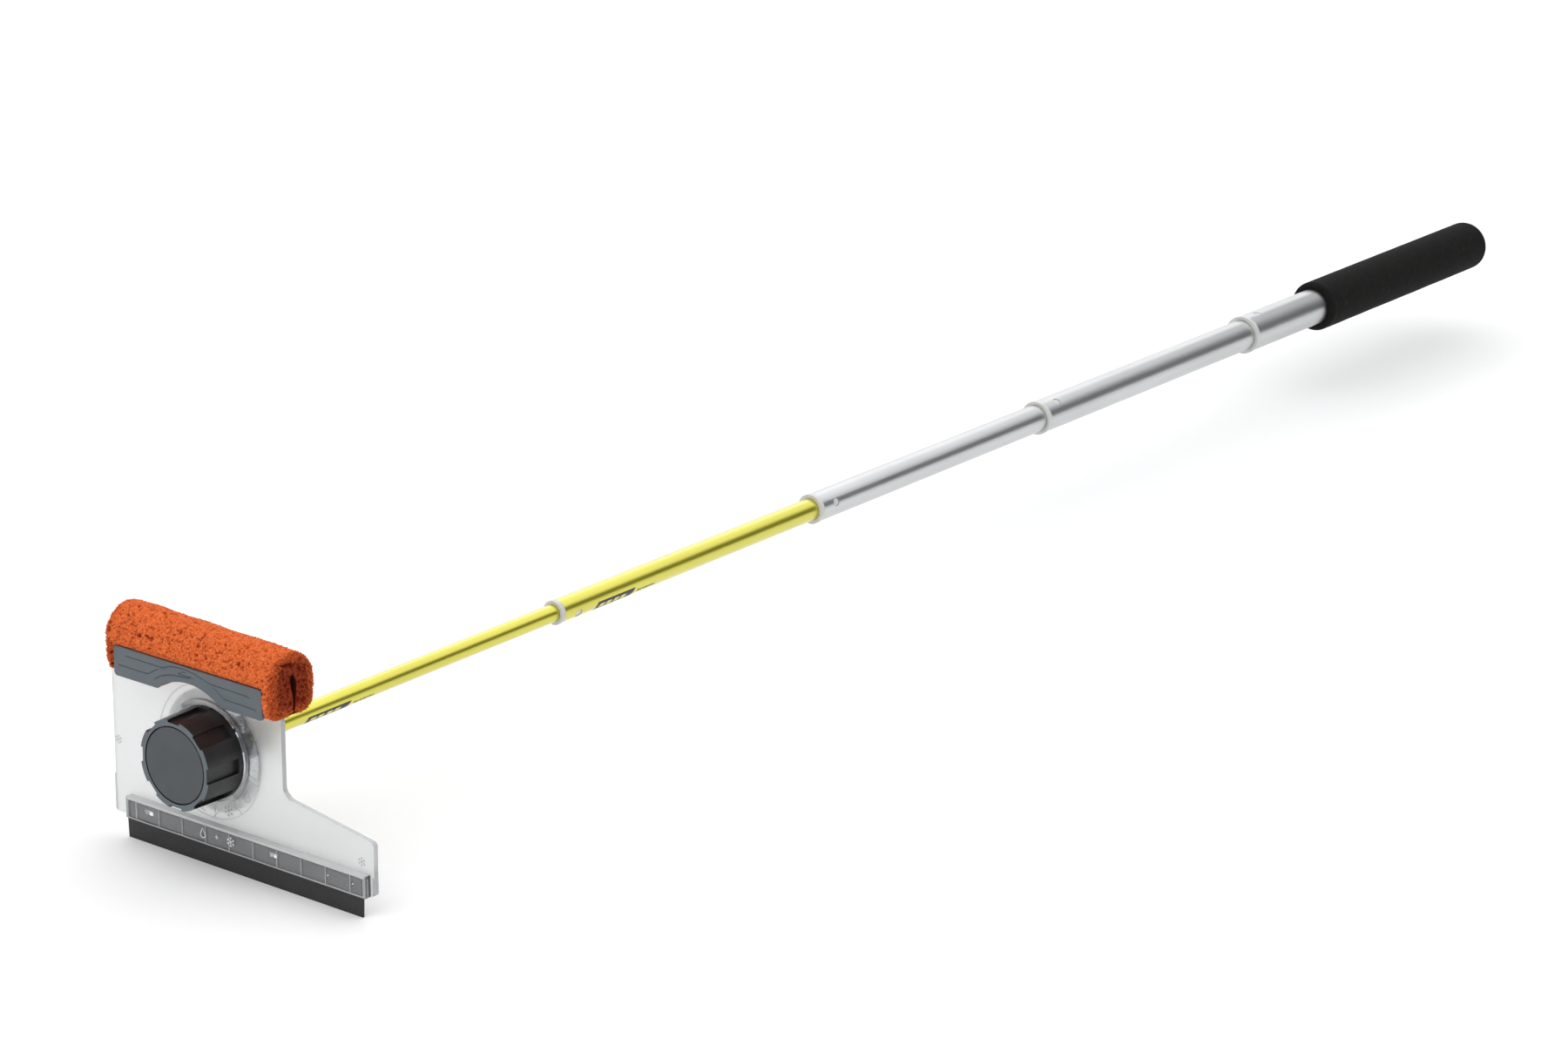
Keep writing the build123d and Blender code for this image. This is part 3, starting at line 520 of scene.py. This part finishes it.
def sponge_ring(x, clamped, shrink):
    """Closed outline of the folded sponge at one station along the plate."""
    low = sponge_bottom(x)
    bottom = low + END_ROUND * shrink
    top = sponge_top(x) - END_ROUND * shrink
    outer = []
    for k in range(RING_STEPS + 1):
        share = math.sin(k / RING_STEPS * math.pi / 2)
        z = low + (sponge_top(x) - low) * share
        outer.append((max(0.0, sponge_half_width(x, z, clamped) - END_ROUND * shrink),
                      bottom + (top - bottom) * share))
    outer[-1] = (0.0, top)
    inner = []
    for k in range(RING_STEPS // 2 + 1):
        z = bottom + (SLIT_TOP - bottom) * k / (RING_STEPS // 2)
        inner.append((slot_half_width(x, z) + 0.05 * MM, z))
    ring = outer + [(-y, z) for y, z in reversed(outer[:-1])]
    ring += [(slit_sway(x, z) - y, z) for y, z in inner]
    ring += [(slit_sway(x, z) + y, z) for y, z in reversed(inner[:-1])]
    return [(x, MIDDLE_Y + y, z) for y, z in ring]


def sponge_mesh():
    """The folded sponge, lofted ring by ring and then remeshed evenly."""
    rings = []
    for k in range(STATIONS + 1):
        x = SPONGE_LEFT + (SPONGE_RIGHT - SPONGE_LEFT) * k / STATIONS
        clamped = smoothstep(-2.5 * MM, 0.0, min(x - bar_low.x, bar_high.x - x))
        end = min(1.0, max(0.0, min(x - SPONGE_LEFT, SPONGE_RIGHT - x)) / (END_ROUND * 1.2))
        rings.append(sponge_ring(x, clamped, 1 - math.sqrt(1 - (1 - end) ** 2)))
    count = len(rings[0])
    verts = [p for ring in rings for p in ring]
    faces = []
    for k in range(STATIONS):
        for j in range(count):
            a, b = k * count + j, k * count + (j + 1) % count
            faces.append((a, b, b + count, a + count))
    faces.append(tuple(reversed(range(count))))
    faces.append(tuple(range(STATIONS * count, (STATIONS + 1) * count)))
    piece = new_object("sponge_foam", verts, faces)
    remesh = piece.modifiers.new("even", "REMESH")
    remesh.mode = "VOXEL"
    remesh.voxel_size = SPONGE_VOXEL
    return baked(piece)


def read_vectors(mesh, key):
    """One vector for each vertex, as rows."""
    values = np.zeros(len(mesh.vertices) * 3, np.float32)
    mesh.vertices.foreach_get(key, values)
    return values.reshape(-1, 3)


def by_the_plate(p):
    """Inside the slot or the slit, where the foam stays smooth and takes dark painted shade."""
    return (abs(p[1] - MIDDLE_Y - slit_sway(p[0], p[2])) < 2.6 * MM and p[2] < SLIT_TOP + 0.5 * MM
            and p[0] < SPONGE_RIGHT - 0.3 * MM)


def under_a_bar(p):
    """Near a bar's edges or behind it, where the foam stays smooth and clear of the bar."""
    return (bar_low.x - 0.5 * MM < p[0] < bar_high.x + 0.5 * MM and p[2] < bar_high.z + 0.8 * MM)


def painted_end_shade(p):
    """Painted shade inside the right cut end, which faces away from the light; the rim stays
    bright.
    """
    at_end = smoothstep(SPONGE_RIGHT - 3.0 * MM, SPONGE_RIGHT - 1.2 * MM, p.x)
    inside = min(sponge_half_width(p.x, p.z, 0.0) - abs(p.y - MIDDLE_Y), p.z - sponge_low.z,
                 sponge_top(p.x) - p.z)
    return 0.8 * at_end * smoothstep(2.0 * MM, 6.5 * MM, inside)


# noise cells per metre, and the noise values between which a pore opens
BIG_PORES, BIG_OPEN = 330, (0.46, 0.62)
MIDDLE_PORES, MIDDLE_OPEN, MIDDLE_SHARE = 520, (0.34, 0.54), 0.55
SMALL_PORES, SMALL_OPEN, SMALL_SHARE = 760, (0.30, 0.50), 0.6
GRAIN_SCALE, LUMP_SCALE = 1150, 48
PORE_DEPTH, FINE_HEIGHT, MIDDLE_HEIGHT, LUMP_HEIGHT = 1.5, 0.38, 0.3, 0.7    # mm
UNDER_BAR_SHARE = 0.3
SLIT_SHADE = 2.0                   # values over 1 give the slit its dark painted shade


def open_the_pores(piece):
    """Moves each point in by its pores and roughens the rest; keeps painted shade for the colour:
    in pits, low spots, the slit and inside the right end.
    """
    mesh = piece.data
    co, normals = read_vectors(mesh, "co"), read_vectors(mesh, "normal")
    shade_amount = np.zeros(len(co), np.float32)
    for i in range(len(co)):
        p = Vector(co[i])
        # Points in the slot or the slit get the slit's dark painted shade.
        if by_the_plate(p):
            shade_amount[i] = SLIT_SHADE
            continue
        big = noise.noise(p * BIG_PORES + Vector((0, 0, 4)))
        mid = noise.noise(p * MIDDLE_PORES)
        small = noise.noise(p * SMALL_PORES + Vector((3, 0, 0)))
        fine = noise.noise(p * GRAIN_SCALE)
        lump = noise.noise(p * LUMP_SCALE)
        pit = smoothstep(*BIG_OPEN, big) + MIDDLE_SHARE * smoothstep(*MIDDLE_OPEN, mid)
        pit = max(pit, SMALL_SHARE * smoothstep(*SMALL_OPEN, small))
        move = (-PORE_DEPTH * pit + FINE_HEIGHT * fine + MIDDLE_HEIGHT * mid
                + LUMP_HEIGHT * lump) * MM
        if under_a_bar(p):
            move = min(0.0, move) * UNDER_BAR_SHARE
        co[i] += normals[i] * move
        # Painted shade: pits, the low spots of the grain and the inside of the right end.
        shade_amount[i] = min(1.0, 0.62 * pit + 0.6 * max(0.0, -fine) + painted_end_shade(p))
    reach = 0.5 * MM
    co = np.clip(co, np.array(sponge_low) - reach, np.array(sponge_high) + reach).astype(np.float32)
    mesh.vertices.foreach_set("co", co.reshape(-1))
    layer = mesh.attributes.new("painted_shade", "FLOAT", "POINT")
    layer.data.foreach_set("value", shade_amount)
    mesh.update()
    mesh.shade_smooth()


def fuzz_share(p):
    """How much torn foam stands up at a point: most round the cut ends, little on their faces."""
    end = min(p.x - SPONGE_LEFT, SPONGE_RIGHT - p.x)
    rim = sponge_half_width(p.x, p.z, 0.0) - abs(p.y - MIDDLE_Y)
    rim = min(rim, sponge_top(p.x) - p.z, p.z - sponge_low.z)
    if end < 2.0 * MM and rim > 4.0 * MM:
        return 0.12
    return 0.1 + 0.9 * (1 - smoothstep(0.0, 5.0 * MM, end))


FUZZ_BASE = 0.22                     # mm
FUZZ_REACH = 2.2 * MM                # no tip goes further past the sponge's box than this


def sponge_fuzz(foam):
    """Torn cell walls that stand up from the foam, each a small pyramid."""
    rng = np.random.default_rng(11)
    co, normals = read_vectors(foam.data, "co"), read_vectors(foam.data, "normal")
    shade_amount = np.zeros(len(co), np.float32)
    foam.data.attributes["painted_shade"].data.foreach_get("value", shade_amount)
    verts, faces, shade = [], [], []
    for i in rng.permutation(len(co)):
        p, n = Vector(co[i]), Vector(normals[i])
        share = fuzz_share(p)
        if rng.random() > 0.8 * share or by_the_plate(p) or under_a_bar(p):
            continue
        way = (n + Vector(rng.normal(0, 0.6, 3))).normalized()
        side = way.orthogonal().normalized() * FUZZ_BASE * MM
        other = way.cross(side)
        tip = p + way * (0.3 + 0.9 * share * rng.random() + 0.25 * rng.random()) * MM
        base = len(verts)
        verts += [p + side, p - side * 0.5 + other * 0.87, p - side * 0.5 - other * 0.87, tip]
        # The tuft takes its root's painted shade, a little lighter at the tip.
        shade += [shade_amount[i]] * 3 + [shade_amount[i] * 0.85]
        faces += [(base, base + 1, base + 3), (base + 1, base + 2, base + 3),
                  (base + 2, base, base + 3)]
    limit = np.array(sponge_high) + FUZZ_REACH
    verts = np.clip(np.array(verts), np.array(sponge_low) - FUZZ_REACH, limit)
    fuzz = new_object("sponge_fuzz", verts, faces)
    layer = fuzz.data.attributes.new("painted_shade", "FLOAT", "POINT")
    layer.data.foreach_set("value", shade)
    return fuzz


sponge = sponge_mesh()
open_the_pores(sponge)
finish_piece(sponge, "head", SPONGE, "orange_sponge", "sponge")
finish_piece(sponge_fuzz(sponge), "head", SPONGE, "orange_sponge")


# ================================================================ foam grip
def turned(name, profile, around):
    """Surface of revolution about the pole axis from (y, radius) points, closed at its end."""
    verts, faces = [], []
    for y, r in profile:
        for k in range(around):
            a = 2 * math.pi * k / around
            verts.append((r * math.cos(a), y, r * math.sin(a)))
    rows = len(profile)
    for i in range(rows - 1):
        for k in range(around):
            a, b = i * around + k, i * around + (k + 1) % around
            faces.append((a, b, b + around, a + around))
    last = (rows - 1) * around
    faces.append(tuple(reversed(range(last, last + around))))
    return new_object(name, verts, faces)


def foam_grip():
    """The grip: a lip at its mouth, a faint ring behind it, and a round closed end."""
    radius = grip_high.z
    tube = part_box("handle_tube")[1].z
    lip, end, steps, straight = 3.6 * MM, 10.5 * MM, 10, 150
    ring_place, ring_width, ring_depth = 7.5 * MM, 0.9 * MM, 0.25 * MM
    points = [(grip_low.y + 8 * MM, tube), (grip_low.y + 0.6 * MM, tube),
              (grip_low.y, tube + 0.6 * MM)]
    for k in range(steps + 1):
        a = math.pi / 2 * k / steps
        points.append((grip_low.y + lip - lip * math.cos(a), radius - lip + lip * math.sin(a)))
    y0, y1 = grip_low.y + lip, grip_high.y - end
    for k in range(1, straight):
        y = y0 + (y1 - y0) * k / straight
        ring = math.exp(-((y - grip_low.y - ring_place) / ring_width) ** 2)
        points.append((y, radius - ring_depth * ring))
    for k in range(steps + 3):
        a = math.pi / 2 * k / (steps + 3)
        points.append((y1 + end * math.sin(a), radius - end + end * math.cos(a)))
    for share in (0.75, 0.5, 0.25, 0.04):
        points.append((grip_high.y, (radius - end) * share))
    piece = turned("foam_grip_skin", points, 120)
    for v in piece.data.vertices:
        n = noise.noise(v.co * 700) * 0.05 + noise.noise(v.co * 60) * 0.12
        out = Vector((v.co.x, 0, v.co.z))
        if out.length > tube + 1 * MM:
            v.co += out.normalized() * n * MM
    return piece


finish_piece(foam_grip(), "handle", FOAM, "black_foam", "foam_grip")


# ================================================================ clamp bars, knob, holder, collars
for cad, name in (("clamp_bar_front", "bar_front"), ("clamp_bar_rear", "bar_rear")):
    finish_piece(cad_copy(cad, name, 0.5 * MM, wall=1.2 * MM), "head", GREY, "grey_plastic", cad)

knob = finish_piece(cad_copy("knob_body", "knob_shell", 0.45 * MM), "knob", KNOB_BLACK,
                    "black_plastic", "knob_body")


def knob_part(face):
    """0 side, 1 front ring, painted lighter grey as a reflection on the front faces of the black
    plastic.
    """
    return 1 if face.normal.y < -0.5 and face.center.y < knob_low.y + 1.0 * MM else 0


# The knob's front ring takes the blue grey as a painted reflection.
paint(knob, [KNOB_BLACK, GREY], knob_part)
finish_piece(cad_copy("knob_cap", "knob_disc", 0.3 * MM), "knob", CAP_REFLECTION_GREY, "grey_plastic",
             "knob_cap")

holder = finish_piece(cad_copy("squeegee_holder", "holder_strip", 0.15 * MM), "head", CLEAR,
                      "clear_plastic", "squeegee_holder")


def holder_part(face):
    """0 panel, 1 top rim with a painted highlight, 2 rib or other front rim with painted shade."""
    top = face.center.z > holder_high.z - 2.0 * MM
    if top and (face.center.y < holder_low.y + 0.12 * MM or face.normal.z > 0.5):
        return 1
    return 2 if face.center.y < holder_low.y + 0.45 * MM else 0


paint(holder, [CLEAR, RIM_HIGHLIGHT, RIB_SHADE], holder_part)

plate = finish_piece(plain_copy("scraper_plate", "plate_sheet"), "head", PLATE, "clear_plastic",
                     "scraper_plate")


HUB_REACH = 40 * MM                     # past the hub ring and everything round it


def on_the_rim(face):
    """Edge faces of the plate's outline, away from the hub and the screws."""
    return abs(face.normal.y) < 0.9 and math.hypot(face.center.x, face.center.z) > HUB_REACH


# The outline's edge faces get the painted edge shade.
paint(plate, [PLATE, PLATE_EDGE_SHADE], lambda face: 1 if on_the_rim(face) else 0)

# CAD node, piece, rounding in mm, body, finish, slot
SOFTENED = [
    ("squeegee_blade", "blade_strip", 0.15, "head", RUBBER, "black_rubber"),
    ("pole_adapter", "adapter_socket", 0.5, "section_5", BLACK, "black_plastic"),
    ("end_plug", "tube_plug", 0.3, "handle", BLACK, "black_plastic"),
    ("collar_1", "collar_ring_1", 0.5, "handle", COLLAR, "white_plastic"),
    ("collar_2", "collar_ring_2", 0.5, "section_2", COLLAR, "white_plastic"),
    ("collar_3", "collar_ring_3", 0.5, "section_3", COLLAR, "white_plastic"),
    ("collar_4", "collar_ring_4", 0.5, "section_4", COLLAR, "white_plastic"),
]
for cad, name, width, body, mat, slot in SOFTENED:
    finish_piece(cad_copy(cad, name, width * MM), body, mat, slot, cad)

finish_piece(plain_copy("hub_retainer", "retainer_ring"), "head", RETAINER, "clear_plastic",
             "hub_retainer")

# ================================================================ generic marks and print
def flat_strips(name, lines, y, width):
    """Thin flat strips along lines of (x, z) points, facing forward at the given depth."""
    verts, faces = [], []
    for line in lines:
        base = len(verts)
        for k, (x, z) in enumerate(line):
            before, after = Vector(line[max(0, k - 1)]), Vector(line[min(len(line) - 1, k + 1)])
            if line[0] == line[-1] and k in (0, len(line) - 1):
                before, after = Vector(line[-2]), Vector(line[1])
            along = (after - before).normalized() * width / 2
            verts += [(x - along.y, y, z + along.x), (x + along.y, y, z - along.x)]
        for k in range(len(line) - 1):
            a = base + 2 * k
            faces.append((a, a + 1, a + 3, a + 2))
    return new_object(name, verts, faces, False)


def snowflake(x, z, size):
    """Three crossed bars with a pair of barbs on each arm."""
    lines = []
    for k in range(3):
        a = math.radians(90 + 60 * k)
        dx, dz = size * math.cos(a), size * math.sin(a)
        lines.append([(x - dx, z - dz), (x + dx, z + dz)])
    for k in range(6):
        a = math.radians(30 + 60 * k)
        root = (x + 0.55 * size * math.cos(a), z + 0.55 * size * math.sin(a))
        for turn in (-0.7, 0.7):
            lines.append([root, (root[0] + 0.4 * size * math.cos(a + turn),
                                 root[1] + 0.4 * size * math.sin(a + turn))])
    return lines


def drop(x, z, size):
    """Outline of a water drop."""
    points = [(x, z + size)]
    for k in range(13):
        a = math.radians(50 - 280 * k / 12)
        points.append((x + 0.62 * size * math.cos(a), z - 0.38 * size + 0.62 * size * math.sin(a)))
    return [points + [points[0]]]


def little_squeegee(x, z, size):
    """A blade line and a handle line."""
    return [[(x - size, z - 0.5 * size), (x + 0.7 * size, z - 0.9 * size)],
            [(x - 0.1 * size, z - 0.7 * size), (x + 0.5 * size, z + size)]]


def scaled(lines):
    """Lines in mm as lines in metres."""
    return [[(x * MM, z * MM) for x, z in line] for line in lines]


MARK_LIFT = 0.02 * MM
# where the marks lie on the plate and the holder, in mm from the pole axis
DIAL_LINES = [[(26.8, -8.7), (33.7, -11.0)], [(16.2, -21.5), (21.2, -29.3)],
              [(2.7, -28.4), (5.0, -31.4), (1.0, -36.1)]]
EDGE_MARKS = [(-67.0, -10.0), (104.5, -33.0)]
HOLDER_DOTS = (84.5, 101.5)


def dial_lines():
    """The dial's lines with a drop, a snowflake and a squeegee, in mm."""
    return (DIAL_LINES + drop(25.6, -18.0, 3.4) + snowflake(12.0, -29.6, 3.4)
            + little_squeegee(-6.5, -31.5, 2.8))


def edge_lines():
    """A snowflake by each ice edge."""
    (x0, z0), (x1, z1) = EDGE_MARKS
    return snowflake(x0, z0, 2.6) + snowflake(x1, z1, 2.6)


def holder_lines():
    """A drop, a plus sign and a snowflake in the middle, and two dots near the end."""
    z = (holder_low.z + holder_high.z) / 2 / MM
    lines = drop(-3.5, z, 2.8) + [[(5.2, z), (7.8, z)], [(6.5, z - 1.3), (6.5, z + 1.3)]]
    lines += snowflake(16.5, z, 2.8)
    for x in HOLDER_DOTS:
        lines.append([(x - 0.5, z - 0.4), (x + 0.5, z + 0.4)])
    return lines


def marks():
    """Engraved and printed marks as flat strips on the plate and on the holder."""
    on_plate, on_holder = FRONT_Y - MARK_LIFT, holder_low.y + 0.16 * MM
    finish_piece(flat_strips("dial_marks", scaled(dial_lines()), on_plate, 0.5 * MM), "head",
                 ETCH_GREY, "clear_plastic")
    finish_piece(flat_strips("edge_marks", scaled(edge_lines()), on_plate, 0.4 * MM), "head",
                 ETCH_GREY, "clear_plastic")
    finish_piece(flat_strips("holder_marks", scaled(holder_lines()), on_holder, 0.45 * MM), "head",
                 PRINT_WHITE, "clear_plastic")


def tube_print(name, radius, patches):
    """Patches on a tube: (y0, y1, turn0, turn1, slant) in metres and degrees."""
    verts, faces = [], []
    steps = 10
    for y0, y1, turn0, turn1, slant in patches:
        base = len(verts)
        for k in range(steps + 1):
            t = k / steps
            a = math.radians(turn0 + (turn1 - turn0) * t)
            for y in (y0 + slant * (1 - t), y1 + slant * (1 - t)):
                out = radius + MARK_LIFT
                verts.append((out * math.cos(a), y, out * math.sin(a)))
        for k in range(steps):
            a = base + 2 * k
            faces.append((a, a + 1, a + 3, a + 2))
    return new_object(name, verts, faces)


BAND = 32.5 * MM                        # length of the dark band
# turns in degrees of its two rails, of what fills the space between, and of the dashes
TOP_RAIL, BOTTOM_RAIL, FILL, DASH_ROW = (-6, -21), (-42, -56), (-20, -41), (-24, -36)
# pieces of dark between the rails: start and width, as shares of the band
BAND_FILL = ((0.0, 0.10), (0.24, 0.05), (0.42, 0.07), (0.62, 0.05), (0.80, 0.2))
DASHES = (2.2, 1.0, 1.6, 2.4, 1.2, 1.8, 1.0)      # lengths in mm
DASH_GAP, DASH_SLANT = 0.7 * MM, 0.4 * MM


def label(start):
    """Dark slanted band with light slots in it, then a row of small dashes."""
    slant = 3.0 * MM
    lower = start - slant * 0.7
    patches = [(start, start + BAND, *TOP_RAIL, slant * 0.3),
               (lower, start + BAND - slant * 0.7, *BOTTOM_RAIL, slant * 0.3)]
    for share, width in BAND_FILL:
        y = start + BAND * share - slant * 0.4
        patches.append((y, y + BAND * width, *FILL, slant * 0.4))
    y = start + BAND + 3 * MM
    for dash in DASHES:
        length = dash * MM
        patches.append((y, y + length, *DASH_ROW, DASH_SLANT))
        y += length + DASH_GAP
    return patches


def tube_label(name, tube, body, start):
    """The label on a tube, from its end nearer the head."""
    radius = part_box(tube)[1].x
    finish_piece(tube_print(name, radius, label(start)), body, PRINT_DARK, "black_plastic")


marks()
tube_label("print_section_5", "tube_5", "section_5", -1121.7 * MM)
tube_label("print_section_4", "tube_4", "section_4", -889.5 * MM)

# ================================================================ CAD nodes that stay
KEPT = {
    "handle_tube": SILVER, "tube_2": SILVER, "tube_3": SILVER,
    "tube_4": GREEN, "tube_5": GREEN, "bush_2": COLLAR, "bush_3": COLLAR, "bush_4": COLLAR,
    "bush_5": COLLAR, "adapter_pin": STEEL, "clamp_stud": STEEL, "friction_washer": RUBBER,
    "clamp_screws": STEEL, "retainer_screws": STEEL, "knob_nut": BRASS, "thrust_washer": STEEL,
}
for cad, mat in KEPT.items():
    mesh = NODES[cad].data
    mesh.materials.clear()
    mesh.materials.append(mat)

# ================================================================ stage, light, camera
FLOOR_HALF = 14.0


def stage():
    """Plain pale floor under the blade."""
    corners = [(-1, -1), (1, -1), (1, 1), (-1, 1)]
    floor = new_object("floor", [(x * FLOOR_HALF, y * FLOOR_HALF, FLOOR_Z) for x, y in corners],
                       [(0, 1, 2, 3)], False)
    mat, tree, shader = material("pale floor", (0.97, 0.97, 0.97), 0.9)
    shader.inputs["Specular IOR Level"].default_value = 0.1
    floor.data.materials.append(mat)


def area_light(name, place, target, size, power):
    """Soft rectangle at a place that faces the target; power in watts."""
    data = bpy.data.lights.new(name, "AREA")
    data.shape = "RECTANGLE"
    data.size, data.size_y = size
    data.energy = power
    lamp = bpy.data.objects.new(name, data)
    lamp.location = place
    lamp.rotation_mode = "QUATERNION"
    lamp.rotation_quaternion = (Vector(target) - Vector(place)).to_track_quat("-Z", "Y")
    bpy.context.scene.collection.objects.link(lamp)


def studio():
    """One very large soft box overhead over a dim room, so that tubes keep a dark horizon."""
    world = bpy.data.worlds.new("studio")
    world.use_nodes = True
    background = world.node_tree.nodes["Background"]
    background.inputs["Color"].default_value = (0.92, 0.96, 1.0, 1.0)
    background.inputs["Strength"].default_value = 0.13
    bpy.context.scene.world = world
    middle = Vector((0, FRONT_Y / 2, 0))
    over_middle = middle + Vector((0, 0, 0.2))
    head = Vector((0, FRONT_Y, 0))
    area_light("overhead", middle + Vector((0, 0, 2.5)), middle, (7.2, 7.6), 225)
    area_light("back left", middle + Vector((-2.5, 2.7, 1.25)), over_middle, (3.6, 2.4), 30)
    area_light("front", head + Vector((-0.6, -2.2, 0.9)), head, (1.6, 1.2), 14)


AZIMUTH, ELEVATION, ROLL = math.radians(37.632), math.radians(18.677), math.radians(0.551)
CAMERA_PLACE = Vector((1.49292, FRONT_Y - 1.45866, 0.82486))
LENS, FRAME_WIDTH = 100.0, 36.0         # mm


def camera():
    """Long lens, to the right of the head and above it."""
    azimuth, elevation, roll = AZIMUTH, ELEVATION, ROLL
    back = Vector((math.sin(azimuth) * math.cos(elevation),
                   -math.cos(azimuth) * math.cos(elevation), math.sin(elevation)))
    right = Vector((math.cos(azimuth), math.sin(azimuth), 0))
    up = back.cross(right)
    tilted_right = right * math.cos(roll) + up * math.sin(roll)
    tilted_up = up * math.cos(roll) - right * math.sin(roll)
    data = bpy.data.cameras.new("camera")
    data.lens = LENS
    data.sensor_width = FRAME_WIDTH
    data.clip_start, data.clip_end = 0.05, 60.0
    view = bpy.data.objects.new("camera", data)
    turn = Matrix((tilted_right, tilted_up, back)).transposed().to_4x4()
    view.matrix_world = Matrix.Translation(CAMERA_PLACE) @ turn
    bpy.context.scene.collection.objects.link(view)
    bpy.context.scene.camera = view


stage()
studio()
camera()
bpy.context.scene.view_settings.view_transform = "Standard"
